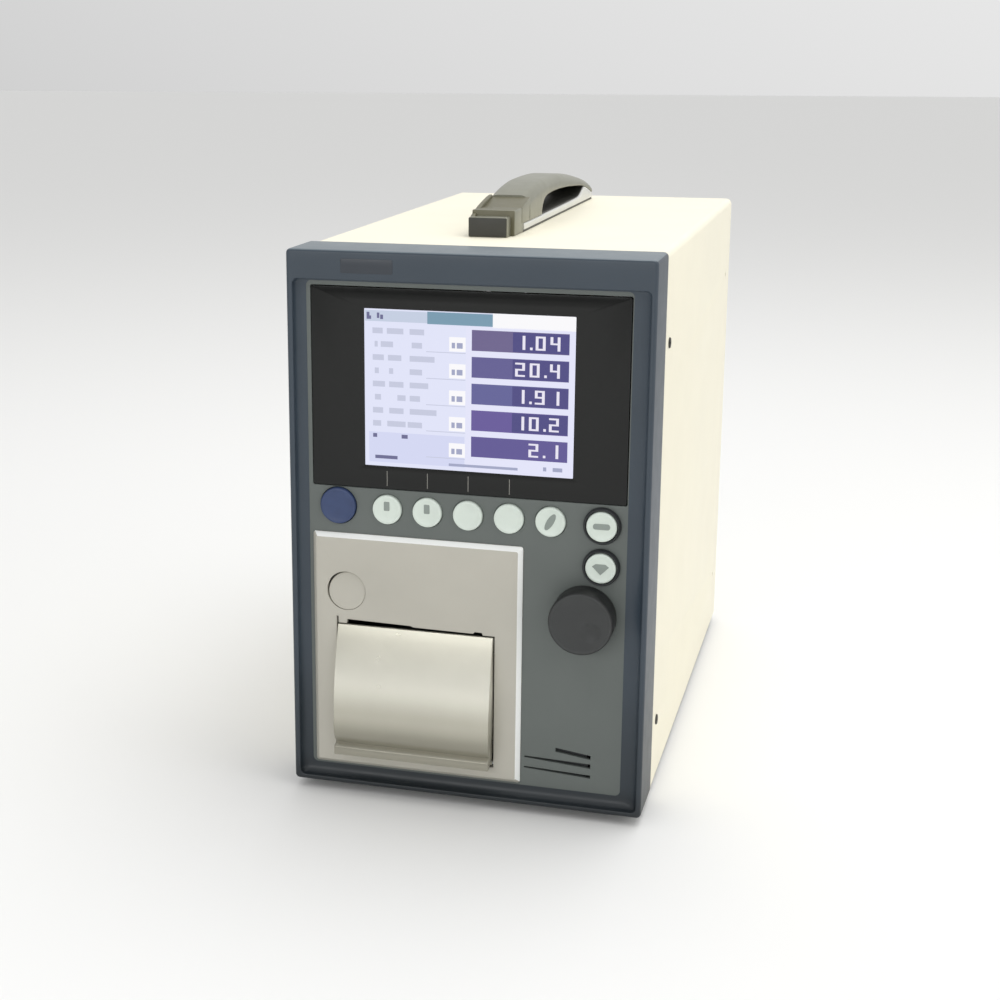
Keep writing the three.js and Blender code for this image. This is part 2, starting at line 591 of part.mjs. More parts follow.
function hosePort(z) {
  const { x } = PORT;
  const end = DEPTH + PORT_PROUD;
  const neck = end - 13;
  const stem = rodY(4.8, REAR_PANEL_Y - 8, neck, x, z, 14);
  const nut = rodY(8.5, REAR_PANEL_Y + SHEET + 0.1, REAR_PANEL_Y + SHEET + 5, x, z, 6);
  const barbs = [];
  for (let i = 0; i < 3; i++) {
    barbs.push(rodY(3.6, neck + i * 4, neck + (i + 1) * 4, x, z, 14, 2.7));
  }
  const bore = rodY(1.6, REAR_PANEL_Y - 10, end + 1, x, z, 12);
  return cut(join(stem, nut, ...barbs, rodY(2.7, neck, end, x, z, 14)), bore);
}

function foot(x, y) {
  const pad = rodZ(9, -FOOT_HEIGHT, -0.1, x, y, 24, 10.5);
  return cut(pad, rodZ(3, -FOOT_HEIGHT - 1, -2.5, x, y, 14));
}

function coverScrew(side, z) {
  const between = (a, b) => [Math.min(side * a, side * b), Math.max(side * a, side * b)];
  const shank = rodX(1.4, ...between(COVER_SIDE - 8, COVER_SIDE + 0.9), SCREW.y, z, 12);
  const head = rodX(3, ...between(COVER_SIDE + 0.1, COVER_SIDE + 0.9), SCREW.y, z, 16);
  return join(shank, head);
}

// ---- inside ----

function powerSupply() {
  const feet = [];
  for (const x of [-84, 14]) {
    for (const y of [165, 325]) feet.push(rodZ(3, SHEET + 0.1, 8, x, y, 10));
  }
  const board = box(-90, 20, 158, 332, 8, 9.6);
  const transformer = box(-60, -22, 200, 238, 9.6, 38);
  const capacitor = rodZ(11, 9.6, 40, -5, 270, 20);
  const heatSink = box(-88, -82, 180, 310, 9.6, 36);
  return join(board, transformer, capacitor, heatSink, ...feet);
}

function mainBoard() {
  const bracket = box(-90, -86, 100, 140, SHEET + 0.1, 60);
  const board = box(-92, -90, 92, 330, 52, 250);
  const chips = [];
  for (const [y, z, s] of [[140, 200, 30], [210, 190, 24], [270, 120, 36], [180, 110, 18]]) {
    chips.push(box(-90, -86.5, y - s / 2, y + s / 2, z - s / 2, z + s / 2));
  }
  return join(board, bracket, ...chips);
}

function samplePump() {
  const base = box(44, 84, 240, 320, SHEET + 0.1, 6);
  const motor = rodY(14, 250, 292, 64, 26, 28);
  const saddle = box(54, 74, 252, 290, 5, 20);
  const head = box(50, 78, 292, 316, 5, 44);
  return join(base, saddle, motor, head, rodZ(3, 43, 52, 58, 304, 12), rodZ(3, 43, 52, 70, 304, 12));
}

function measuringBench() {
  const tube = rodY(11, 110, 300, 66, 96, 28);
  const ends = [box(52, 80, 102, 116, 82, 110), box(52, 80, 294, 308, 82, 110)];
  const legs = [box(60, 72, 104, 114, SHEET + 0.1, 84), box(60, 72, 226, 236, SHEET + 0.1, 90)];
  return join(tube, ...ends, ...legs);
}

// ---- carrying handle ----

const HANDLE_X0 = HANDLE.x - HANDLE.width / 2;
const HANDLE_X1 = HANDLE.x + HANDLE.width / 2;
const HANDLE_FOOT = COVER_TOP + 0.1;
const BASE_TOP = HANDLE_FOOT + 5;
const BASE_Y0 = 118.1;
const REAR_LIFT = [[285, 5.1], [296, 6.5], [304, 9], [309, 11.5], [325, 8.4], [338, 5.1], [350.5, 1.5]];

// Points given as Y and height over the cover, moved up by the gap where a piece rests on another.
const overCover = (points, gap = 0) => points.map(([y, up]) => [y, COVER_TOP + up + gap]);

// What is left over when the rear end is rounded in plan to the handle's half width.
function rearCorners() {
  const r = HANDLE.width / 2;
  const shape = new THREE.Shape();
  shape.moveTo(HANDLE_X1 + 3, HANDLE.y1 - r);
  shape.lineTo(HANDLE_X1 + 3, HANDLE.y1 + 3);
  shape.lineTo(HANDLE_X0 - 3, HANDLE.y1 + 3);
  shape.lineTo(HANDLE_X0 - 3, HANDLE.y1 - r);
  shape.lineTo(HANDLE_X0, HANDLE.y1 - r);
  shape.absarc(HANDLE.x, HANDLE.y1 - r, r, Math.PI, 0, true);
  const waste = new THREE.ExtrudeGeometry(shape, { depth: 40, bevelEnabled: false, curveSegments: 12 });
  return solid(waste.translate(0, 0, COVER_TOP - 5));
}

function handleBase() {
  const side = [[BASE_Y0, 0.1], [HANDLE.y1, 0.1], [HANDLE.y1, 1.3], ...[...REAR_LIFT].reverse(), [BASE_Y0, 5.1]];
  return cut(slabX(outline(overCover(side)), HANDLE_X0, HANDLE_X1), rearCorners());
}

// Side outline of the grip in Y and height: two steps and a slope at the front, then the arch over
// the finger opening, which comes down to the base's raised rear end.
function handleGrip() {
  const back = [[134, 19.9], [142, 21.5], [150, 22.8], [165, 24.5], [180, 25.4], [205, HANDLE.rise], [230, 25.4],
    [250, 24], [270, 21.9], [290, 19], [310, 15.9], [325, 13], [338, 9.5], [346, 6], [350.8, 2.4]];
  const opening = [[168, 5.2], [168.8, 7.5], [171.5, 10.5], [177, 13.9], [187, 15.9], [205, 16.6], [225, 16.4],
    [250, 15.5], [280, 13.7], [300, 12.4]];
  const steps = [[134, 18.8], [113, 14.6], [95, 14.7], [95, 11.3], [HANDLE.y0, 11.3]];
  const side = [[HANDLE.y0, 0.1], [118, 0.1], [118, 5.2], ...opening,
    ...REAR_LIFT.slice(3).map(([y, up]) => [y, up + GAP]), ...[...back].reverse(), ...steps];
  const arch = slabX(outline(overCover(side)), HANDLE_X0, HANDLE_X1);
  const cheek = [[HANDLE.y0, 0.1], [117, 0.1], [117, 6], [134, 6], [134, 19.9], [120, 18.2], [108, 16.2], [96, 13.4], [88, 10.6],
    [HANDLE.y0, 8.5]];
  const left = slabX(outline(overCover(cheek)), HANDLE_X0, HANDLE_X0 + 2.6);
  const notch = box(HANDLE_X1 - 2.6, HANDLE_X1 + 1, HANDLE.y0 - 1, 95, COVER_TOP - 1, COVER_TOP + 13);
  return cut(join(arch, left), join(rearCorners(), notch));
}

function handlePad() {
  return box(HANDLE_X0 + 0.9, HANDLE_X1 - 0.9, 169, 284, BASE_TOP + 0.1, BASE_TOP + 0.9);
}

add('front_bezel', frontBezel(), DARK_PLASTIC);
add('control_panel', controlPanel(), PANEL_GREY);
add('display_window', displayWindow(), BLACK_GLOSS);
add('lcd_module', lcdModule(), ZINC_SHEET);
add('display_board', displayBoard(), BOARD_GREEN);
add('power_button', key(POWER_KEY.x, POWER_KEY.z, POWER_KEY.r, PANEL_Y - 2), finish(0x39485f, 0.4));
for (let i = 0; i < SOFT_KEY.count; i++) {
  const x = SOFT_KEY.x + i * SOFT_KEY.pitch;
  add(`soft_key_${i + 1}`, key(x, KEY_ROW_Z, SOFT_KEY.r, PANEL_Y - 1.8), KEY_WHITE);
}
FUNCTION_KEY.z.forEach((z, i) => {
  const which = ['upper', 'lower'][i];
  add(`function_key_${which}`, key(FUNCTION_KEY.x, z, FUNCTION_KEY.r, PANEL_Y - 3.6), KEY_WHITE);
  add(`function_ring_${which}`, functionRing(z), BLACK_PLASTIC);
});
add('keypad_board', keypadBoard(), BOARD_GREEN);
add('control_knob', controlKnob(), BLACK_PLASTIC);
add('encoder_shaft', rodY(3, -3.8, PANEL_BACK + 4, KNOB.x, KNOB.z, 24), STEEL);
add('encoder_body', encoderBody(), ZINC_SHEET);
add('speaker', speaker(), BLACK_PLASTIC);

add('printer_frame', printerFrame(), BEIGE_PLASTIC);
add('printer_door', printerDoor(), BEIGE_PLASTIC);
add('door_hinge_pin', doorPin(DOOR_PIVOT.r, 2.6), STEEL);
add('door_release_button', releaseButton(), BEIGE_PLASTIC);
add('paper_well', paperWell(), BLACK_PLASTIC);
add('paper_roll', paperRoll(), finish(0xf2f1ec, 0.85));
add('platen_roller', platenRoller(), RUBBER);
add('platen_gear', platenGear(), GEAR_WHITE);
add('idler_gear', idlerGear(), GEAR_WHITE);
add('motor_pinion', motorPinion(), BRASS);
add('print_mechanism', printMechanism(), ZINC_SHEET);
add('printer_motor', printerMotor(), ZINC_SHEET);
add('thermal_head', thermalHead(), finish(0x8d7f6a, 0.4));
add('tear_bar', tearBar(), STEEL);

add('case_cover', caseCover(), CREAM_PAINT);
add('base_chassis', baseChassis(), ZINC_SHEET);
add('rear_panel', rearPanel(), CREAM_PAINT);
add('mains_inlet', mainsInlet(), BLACK_PLASTIC);
add('mains_switch', mainsSwitch(), BLACK_PLASTIC);
add('fan_frame', fanFrame(), BLACK_PLASTIC);
add('fan_rotor', fanRotor(), BLACK_PLASTIC);
add('fan_guard', fanGuard(), STEEL);
add('data_connector', dataConnector(), STEEL);
add('sample_inlet_port', hosePort(PORT.inletZ), BRASS);
add('sample_outlet_port', hosePort(PORT.outletZ), BRASS);
for (const [side, hand] of [[-1, 'left'], [1, 'right']]) {
  add(`foot_front_${hand}`, foot(side * FOOT.x, FOOT.y[0]), RUBBER);
  add(`foot_rear_${hand}`, foot(side * FOOT.x, FOOT.y[1]), RUBBER);
  add(`cover_screw_${hand}_lower`, coverScrew(side, SCREW.z[0]), STEEL);
  add(`cover_screw_${hand}_upper`, coverScrew(side, SCREW.z[1]), STEEL);
}
add('power_supply', powerSupply(), BOARD_GREEN);
add('main_board', mainBoard(), BOARD_GREEN);
add('sample_pump', samplePump(), ZINC_SHEET);
add('measuring_bench', measuringBench(), finish(0xb9bcc0, 0.35, 1));

add('handle_base', handleBase(), finish(0xb9b9b1, 0.45));
add('handle_grip', handleGrip(), finish(0x8f8f7e, 0.5));
add('handle_pad', handlePad(), RUBBER);

// The front-to-back middle of the whole object goes to Y = 0, and the feet to Z = 0.
front.position.set(0, -(DEPTH + PORT_PROUD - KNOB_PROUD) / 2, FOOT_HEIGHT);
const analyser = new THREE.Group();
analyser.add(front);

export default analyser;
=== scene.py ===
import math

import bmesh
import bpy
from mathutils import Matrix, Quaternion, Vector


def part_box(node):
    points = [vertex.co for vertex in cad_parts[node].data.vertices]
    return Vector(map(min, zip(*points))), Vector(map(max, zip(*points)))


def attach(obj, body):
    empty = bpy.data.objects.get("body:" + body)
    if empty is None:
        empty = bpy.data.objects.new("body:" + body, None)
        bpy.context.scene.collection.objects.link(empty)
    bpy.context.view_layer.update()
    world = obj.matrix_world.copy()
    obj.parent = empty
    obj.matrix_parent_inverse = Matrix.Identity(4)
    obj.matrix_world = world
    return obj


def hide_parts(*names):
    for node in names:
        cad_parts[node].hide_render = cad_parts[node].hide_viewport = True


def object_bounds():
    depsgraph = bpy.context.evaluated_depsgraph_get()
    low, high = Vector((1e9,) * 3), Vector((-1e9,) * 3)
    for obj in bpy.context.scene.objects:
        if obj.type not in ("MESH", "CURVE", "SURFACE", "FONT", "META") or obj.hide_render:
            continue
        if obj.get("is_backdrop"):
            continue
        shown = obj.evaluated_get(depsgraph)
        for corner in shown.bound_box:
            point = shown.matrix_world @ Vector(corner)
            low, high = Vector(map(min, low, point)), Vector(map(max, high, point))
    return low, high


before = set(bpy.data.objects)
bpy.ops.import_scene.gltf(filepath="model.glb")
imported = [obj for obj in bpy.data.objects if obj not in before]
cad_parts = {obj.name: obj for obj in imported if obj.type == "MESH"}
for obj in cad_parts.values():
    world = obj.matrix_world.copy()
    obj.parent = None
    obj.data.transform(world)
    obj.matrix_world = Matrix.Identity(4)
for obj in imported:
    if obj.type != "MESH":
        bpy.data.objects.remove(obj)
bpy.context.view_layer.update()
MM = 0.001
scene = bpy.context.scene

# ---- Camera, floor and lights ----
# A pale floor under a soft, bright room: most of the light comes from above and from the
# right, and the side that the front faces is the dimmer one.

camera = bpy.data.objects.new("camera", bpy.data.cameras.new("camera"))
scene.collection.objects.link(camera)
scene.camera = camera
camera.data.sensor_width = 36
camera.data.lens = 61.94
camera.data.shift_x = 0.0958
camera.data.shift_y = -0.0313
camera.location = (0.2194, -1.0502, 0.4198)
azimuth, elevation, roll = math.radians(16.3), math.radians(14.08), math.radians(-0.14)
behind = Vector((math.sin(azimuth) * math.cos(elevation),
                 -math.cos(azimuth) * math.cos(elevation), math.sin(elevation)))
camera.rotation_mode = "QUATERNION"
camera.rotation_quaternion = behind.to_track_quat("Z", "Y") @ Quaternion((0, 0, 1), roll)


def linear(red, green, blue):
    """The linear colour of 0 to 255 display values."""
    return [((v / 255 + 0.055) / 1.055) ** 2.4 if v > 10 else v / 255 / 12.92
            for v in (red, green, blue)]


def feed(tree, node, **inputs):
    """Sets a node's inputs, each to a constant or to a link from another node's output."""
    for name, value in inputs.items():
        socket = node.inputs[name.replace("_", " ")]
        if isinstance(value, bpy.types.NodeSocket):
            tree.links.new(value, socket)
        else:
            socket.default_value = value
    return node


def blank(name, **inputs):
    """A material whose shader has the given constants."""
    made = bpy.data.materials.new(name)
    made.use_nodes = True
    feed(made.node_tree, made.node_tree.nodes["Principled BSDF"], **inputs)
    return made


def area_light(name, place, aim, width, height, power, colour=(1, 1, 1)):
    """A rectangular lamp at a place, aimed at a point."""
    lamp = bpy.data.lights.new(name, "AREA")
    lamp.shape = "RECTANGLE"
    lamp.size = width
    lamp.size_y = height
    lamp.energy = power
    lamp.color = colour
    holder = bpy.data.objects.new(name, lamp)
    holder.location = place
    holder.rotation_euler = (Vector(place) - Vector(aim)).to_track_quat("Z", "Y").to_euler()
    scene.collection.objects.link(holder)


scene.view_settings.view_transform = "Standard"
world = bpy.data.worlds.new("room")
scene.world = world
world.use_nodes = True
sky = world.node_tree
direction = sky.nodes.new("ShaderNodeTexCoord")
towards_light = sky.nodes.new("ShaderNodeVectorMath")
towards_light.operation = "DOT_PRODUCT"
towards_light.inputs[1].default_value = (0.38, 0.42, 0.78)
sky.links.new(direction.outputs["Generated"], towards_light.inputs[0])
sky_level = feed(sky, sky.nodes.new("ShaderNodeMapRange"), Value=towards_light.outputs["Value"],
                 From_Min=-0.6, From_Max=0.6, To_Min=0.22, To_Max=0.88)
feed(sky, sky.nodes["Background"], Color=(1, 1, 1, 1), Strength=sky_level.outputs["Result"])
area_light("ceiling_panel", (0.4, 0.3, 1.9), (0, 0, 0.3), 1.6, 1.2, 16)
area_light("window_right", (1.9, -0.5, 0.9), (0, 0, 0.15), 1.2, 1.4, 4, (1, 0.98, 0.93))
area_light("front_strip", (-0.4, -2.0, 0.75), (-0.03, -0.18, 0.12), 1.6, 0.35, 9)

floor_mesh = bpy.data.meshes.new("floor")
FLOOR_REACH = 12
floor_corners = [(x * FLOOR_REACH, y * FLOOR_REACH, 0) for x, y in ((-1, -1), (1, -1), (1, 1), (-1, 1))]
floor_mesh.from_pydata(floor_corners, [], [(0, 1, 2, 3)])
floor = bpy.data.objects.new("floor", floor_mesh)
scene.collection.objects.link(floor)
floor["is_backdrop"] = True
floor_mesh.materials.append(blank("floor_paint", Base_Color=(0.84, 0.84, 0.83, 1), Roughness=0.9))


# ---- Base chassis and its feet ----
# The chassis is a folded tray of zinc-plated sheet that carries everything inside. Four turned
# rubber feet with a recessed screw hole are screwed to its underside.

def look(name, colour, roughness, metal=0.0, mottle=0.05, mottle_size=60, grain=0.0, grain_size=2600,
         stretch=(1, 1, 1), uneven=0.06):
    """A surface whose colour is slightly mottled, whose gloss is uneven and whose skin has a grain."""
    made = blank(name, Metallic=metal)
    tree = made.node_tree
    shader = tree.nodes["Principled BSDF"]
    scaled = feed(tree, tree.nodes.new("ShaderNodeMapping"), Scale=stretch,
                  Vector=tree.nodes.new("ShaderNodeTexCoord").outputs["Object"])

    def noise(scale, detail):
        return feed(tree, tree.nodes.new("ShaderNodeTexNoise"), Vector=scaled.outputs["Vector"],
                    Scale=scale, Detail=detail).outputs["Fac"]

    ramp = feed(tree, tree.nodes.new("ShaderNodeValToRGB"), Fac=noise(mottle_size, 4))
    for element, at, level in zip(ramp.color_ramp.elements, (0.3, 0.7), (1 - mottle, 1 + mottle)):
        element.position = at
        element.color = [min(1, v * level) for v in linear(*colour)] + [1]
    gloss = feed(tree, tree.nodes.new("ShaderNodeMapRange"), Value=noise(mottle_size * 2.7, 3),
                 To_Min=max(0.02, roughness - uneven), To_Max=min(1, roughness + uneven))
    feed(tree, shader, Base_Color=ramp.outputs["Color"], Roughness=gloss.outputs["Result"])
    if grain:
        bump = feed(tree, tree.nodes.new("ShaderNodeBump"), Strength=grain, Distance=0.0001,
                    Height=noise(grain_size, 2))
        feed(tree, shader, Normal=bump.outputs["Normal"])
    return made


def paint_light_by_height(material, levels, low, high):
    """Paints light and shade into a material's colour by height: a list of (share of the height, level)
    from low to high.
    """
    tree = material.node_tree
    base = tree.nodes["Principled BSDF"].inputs["Base Color"]
    parts = feed(tree, tree.nodes.new("ShaderNodeSeparateXYZ"),
                 Vector=tree.nodes.new("ShaderNodeTexCoord").outputs["Object"])
    share = feed(tree, tree.nodes.new("ShaderNodeMapRange"), Value=parts.outputs["Z"],
                 From_Min=low, From_Max=high)
    ramp = feed(tree, tree.nodes.new("ShaderNodeValToRGB"), Fac=share.outputs["Result"])
    ramp.color_ramp.interpolation = "EASE"
    while len(ramp.color_ramp.elements) < len(levels):
        ramp.color_ramp.elements.new(0.5)
    for element, (at, level) in zip(ramp.color_ramp.elements, levels):
        element.position = at
        # Lower levels are tinted warmer, so the painted shade turns warm as it darkens.
        element.color = (level, level * (0.97 + 0.03 * level), level * (0.85 + 0.15 * level), 1)
    weigh = tree.nodes.new("ShaderNodeMix")
    weigh.data_type = "RGBA"
    weigh.blend_type = "MULTIPLY"
    weigh.inputs[0].default_value = 1
    tree.links.new(base.links[0].from_socket, weigh.inputs[6])
    tree.links.new(ramp.outputs["Color"], weigh.inputs[7])
    tree.links.new(weigh.outputs[2], base)


def dress(node, material):
    """Gives a CAD node that keeps its own shape a material."""
    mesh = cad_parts[node].data
    mesh.materials.clear()
    mesh.materials.append(material)


def bridge(bm, rings):
    """Faces between each closed ring of vertices and the next, where one vertex makes a tip."""
    for a, b in zip(rings, rings[1:]):
        count = max(len(a), len(b))
        for i in range(count):
            j = (i + 1) % count
            corners = [a[i % len(a)], a[j % len(a)], b[j % len(b)], b[i % len(b)]]
            corners = list(dict.fromkeys(corners))
            if len(corners) > 2:
                bm.faces.new(corners)


def lathe(bm, profile, centre, axis="Y", sides=48):
    """A profile of (radius, place along the axis), turned about the line through centre."""
    rings = []
    for r, along in profile:
        points = []
        for i in range(sides if r > 0 else 1):
            turn = 2 * math.pi * i / sides
            a, b = r * math.cos(turn), r * math.sin(turn)
            points.append({"X": (along, centre[0] + a, centre[1] + b),
                           "Y": (centre[0] + a, along, centre[1] + b),
                           "Z": (centre[0] + a, centre[1] + b, along)}[axis])
        rings.append([bm.verts.new(p) for p in points])
    bridge(bm, rings)


def piece(name, bm, body, materials, replaces=(), sharp=38):
    """Makes the mesh one object that rides on a body and stands for the named nodes."""
    bmesh.ops.remove_doubles(bm, verts=bm.verts, dist=1e-7)
    bmesh.ops.recalc_face_normals(bm, faces=bm.faces)
    for face in bm.faces:
        face.smooth = True
    for edge in bm.edges:
        edge.smooth = len(edge.link_faces) == 2 and edge.calc_face_angle(0) < math.radians(sharp)
    mesh = bpy.data.meshes.new(name)
    bm.to_mesh(mesh)
    bm.free()
    for material in materials:
        mesh.materials.append(material)
    made = bpy.data.objects.new(name, mesh)
    scene.collection.objects.link(made)
    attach(made, body)
    if replaces:
        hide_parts(*replaces)
    return made


def middle(node):
    """The middle of a node's box."""
    low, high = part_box(node)
    return (low + high) / 2


def half_across(node):
    """Half a node's width, which is the radius of a round one."""
    low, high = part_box(node)
    return (high.x - low.x) / 2


def placed(points, u, v):
    """Points given in millimetres from (u, v)."""
    return [(u + a * MM, v + b * MM) for a, b in points]


zinc = look("zinc_plate", (176, 180, 184), 0.42, metal=1, mottle=0.12, mottle_size=90, grain=0.15,
            stretch=(1, 0.3, 1))
dress("base_chassis", zinc)
rubber = look("foot_rubber", (34, 34, 35), 0.85, mottle=0.1, grain=0.4, grain_size=1800)
for place in ("front_left", "front_right", "rear_left", "rear_right"):
    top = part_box(f"foot_{place}")[1].z
    at = middle(f"foot_{place}")
    r = half_across(f"foot_{place}")
    foot = bmesh.new()
    lathe(foot, [(0, top), (r, top), (r, top - 0.7 * MM)]
          + placed([(-1.1, 1.2), (-1.5, 0.4), (-2.2, 0)], r, 0)
          + placed([(4, 0), (3.2, 0.3), (3, 1), (3, 2.5), (0, 2.5)], 0, 0), (at.x, at.y), "Z")
    piece(f"rubber_{place}", foot, "chassis", [rubber], [f"foot_{place}"])


# ---- Boards, supply, pump and measuring bench ----
# What the case hides: green boards on standoffs, a small pump with brass hose tails and the
# turned aluminium tube in which the sample is measured.

green_board = look("solder_mask", (30, 92, 54), 0.38, mottle=0.2, mottle_size=300)
aluminium = look("turned_aluminium", (190, 192, 196), 0.32, metal=1, stretch=(1, 0.05, 1))
for node in ("power_supply", "main_board", "display_board", "keypad_board"):
    dress(node, green_board)
dress("sample_pump", zinc)
dress("measuring_bench", aluminium)


# ---- Rear panel ----
# A flat cream-painted sheet set into the cover's rear edge, punched for the inlet, the fan, the
# connector, the hose ports and six cooling slots.

def rounded(x0, x1, z0, z1, r, steps=6):
    """A rounded rectangle's points, anticlockwise."""
    points = []
    for cx, cz, start in ((x1 - r, z0 + r, -90), (x1 - r, z1 - r, 0),
                          (x0 + r, z1 - r, 90), (x0 + r, z0 + r, 180)):
        for i in range(steps + 1):
            turn = math.radians(start + 90 * i / steps)
            points.append((cx + r * math.cos(turn), cz + r * math.sin(turn)))
    return points


def boxed(low, high, r, steps=6, inset=0):
    """A rounded rectangle that fills a box's front, less an inset all round."""
    return rounded(low.x + inset, high.x - inset, low.z + inset, high.z - inset, r, steps)


def around(at, half, below, above, r, steps=6):
    """A rounded rectangle about a point, with its sizes in millimetres."""
    return rounded(at.x - half * MM, at.x + half * MM, at.z - below * MM, at.z + above * MM, r * MM,
                   steps)


def circle(x, z, r, steps=40):
    """A circle's points, anticlockwise."""
    return [(x + r * math.cos(2 * math.pi * i / steps), z + r * math.sin(2 * math.pi * i / steps))
            for i in range(steps)]


def grown(loop, by):
    """The loop moved outwards, with its corners kept."""
    moved = []
    for i, corner in enumerate(loop):
        here = Vector(corner)
        into = (here - Vector(loop[i - 1])).normalized()
        out = (Vector(loop[(i + 1) % len(loop)]) - here).normalized()
        normal = Vector((into.y + out.y, -into.x - out.x))
        moved.append(here + normal * (2 * by / max(normal.length_squared, 1e-6)))
    return moved


FACING = {"front": lambda u, v, w: (u, w, v), "side": lambda u, v, w: (w, u, v),
          "top": lambda u, v, w: (u, v, w)}


def plate(bm, outer, holes, start, end, edge=0.3 * MM, facing="front", steps=3, far_edge=None):
    """A flat plate from start to end, with holes, whose edges are rounded on both faces."""
    far_edge = edge if far_edge is None else far_edge
    way = 1 if end > start else -1
    section = []
    for i in range(steps + 1):
        turn = math.pi / 2 * i / steps
        section.append((edge * (1 - math.sin(turn)), start + way * edge * (1 - math.cos(turn))))
    for i in range(steps + 1):
        turn = math.pi / 2 * i / steps
        section.append((far_edge * (1 - math.cos(turn)), end - way * far_edge * (1 - math.sin(turn))))
    first, last = [], []
    for loop, inwards in [(outer, -1)] + [(hole, 1) for hole in holes]:
        rings = []
        for inset, depth in section:
            points = [FACING[facing](u, v, depth) for u, v in grown(loop, inwards * inset)]
            rings.append([bm.verts.new(p) for p in points])
        bridge(bm, rings)
        for ring, edges in ((rings[0], first), (rings[-1], last)):
            for i in range(len(ring)):
                edges.append(bm.edges.get((ring[i], ring[(i + 1) % len(ring)])))
    for edges in (first, last):
        bmesh.ops.triangle_fill(bm, edges=edges, use_beauty=True)


cream = look("cream_powder_coat", (241, 236, 216), 0.5, mottle=0.015, mottle_size=25, grain=0.35,
             grain_size=1500)
low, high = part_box("rear_panel")
inlet, fan, connector = middle("mains_inlet"), middle("fan_frame"), middle("data_connector")
ports = [middle("sample_inlet_port"), middle("sample_outlet_port")]
openings = [around(inlet, 14.3, 24.3, 24.3, 1), circle(fan.x, fan.z, 18 * MM),
            around(connector, 13, 6, 6, 1)]
openings += [circle(port.x, port.z, 5.2 * MM, 24) for port in ports]
LOWEST_SLOT, SLOT_PITCH = 267.6 * MM, 5 * MM
for i in range(6):
    slot_z = low.z + LOWEST_SLOT + SLOT_PITCH * i
    openings.append(rounded(15 * MM, 75 * MM, slot_z, slot_z + 2.5 * MM, 1.2 * MM))
sheet = bmesh.new()
plate(sheet, boxed(low, high, 2.8 * MM), openings, low.y, high.y)
piece("rear_sheet", sheet, "chassis", [cream], ["rear_panel"])


# ---- Mains inlet and switch ----
# One black moulding snapped into the rear panel: a three-blade appliance inlet below and the
# well of a rocker switch above. The rocker tips on a pin in that well.

black = look("black_moulding", (44, 46, 48), 0.48, mottle=0.08, grain=0.25)
steel = look("bright_steel", (196, 198, 200), 0.28, metal=1, mottle=0.05, stretch=(1, 0.2, 1))
low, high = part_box("mains_inlet")
face_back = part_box("rear_panel")[1].y + 0.1 * MM
well_back = face_back - 16 * MM
socket = around(inlet, 12.2, 21, -4, 3.4, 2)
well = around(inlet, 9.6, -2.5, 21.5, 0.6)
body = around(inlet, 14, 24, 24, 0.8)
housing = bmesh.new()
plate(housing, boxed(low, high, 2.4 * MM), [socket, well], high.y, face_back, 0.9 * MM)
plate(housing, body, [socket, well], face_back, well_back, 0.1 * MM)
plate(housing, body, [], well_back, low.y, 0.3 * MM)
piece("inlet_housing", housing, "chassis", [black], ["mains_inlet"])
blades = bmesh.new()
for dx, dz in ((-7, -15), (7, -15), (0, -9)):
    blade_at = inlet + Vector((dx * MM, 0, dz * MM))
    plate(blades, around(blade_at, 1, 2, 2, 0.3, 2), [], well_back, face_back - 2.5 * MM, 0.4 * MM)
piece("inlet_blades", blades, "chassis", [steel])

low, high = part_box("mains_switch")
pivot_z = (low.z + high.z) / 2
rocker = bmesh.new()
side_view = [(low.y, pivot_z - 6 * MM), (high.y, low.z), (high.y - 2.8 * MM, pivot_z),
             (high.y - 2.4 * MM, high.z), (low.y, pivot_z + 6 * MM)]
plate(rocker, side_view, [], low.x, high.x, 0.4 * MM, "side")
piece("switch_rocker", rocker, "mains_rocker", [black], ["mains_switch"])
white_ink = look("white_ink", (225, 226, 222), 0.55, mottle=0.03)
marks = bmesh.new()
slope = math.atan2(2.8, 6.6)
bar_y, bar_z = high.y - 1.4 * MM, pivot_z - 3.6 * MM
plate(marks, around(Vector((inlet.x, 0, 0)), 0.4, 1.7, 1.7, 0.2, 2), [], -0.1 * MM, 0.12 * MM,
      0.05 * MM)
bmesh.ops.rotate(marks, verts=marks.verts, cent=(0, 0, 0),
                 matrix=Quaternion((1, 0, 0), -slope).to_matrix())
bmesh.ops.translate(marks, verts=marks.verts, vec=(0, bar_y, bar_z))
ring_z = pivot_z + 3.4 * MM
plate(marks, circle(inlet.x, ring_z, 1.5 * MM, 24), [circle(inlet.x, ring_z, 1 * MM, 24)],
      high.y - 2.75 * MM, high.y - 2.48 * MM, 0.05 * MM)
piece("switch_marks", marks, "mains_rocker", [white_ink])


# ---- Cooling fan ----
# A 40 mm square fan screwed behind the rear panel, with seven swept blades on its hub, behind a
# guard of three wire rings welded to two crossed wires.

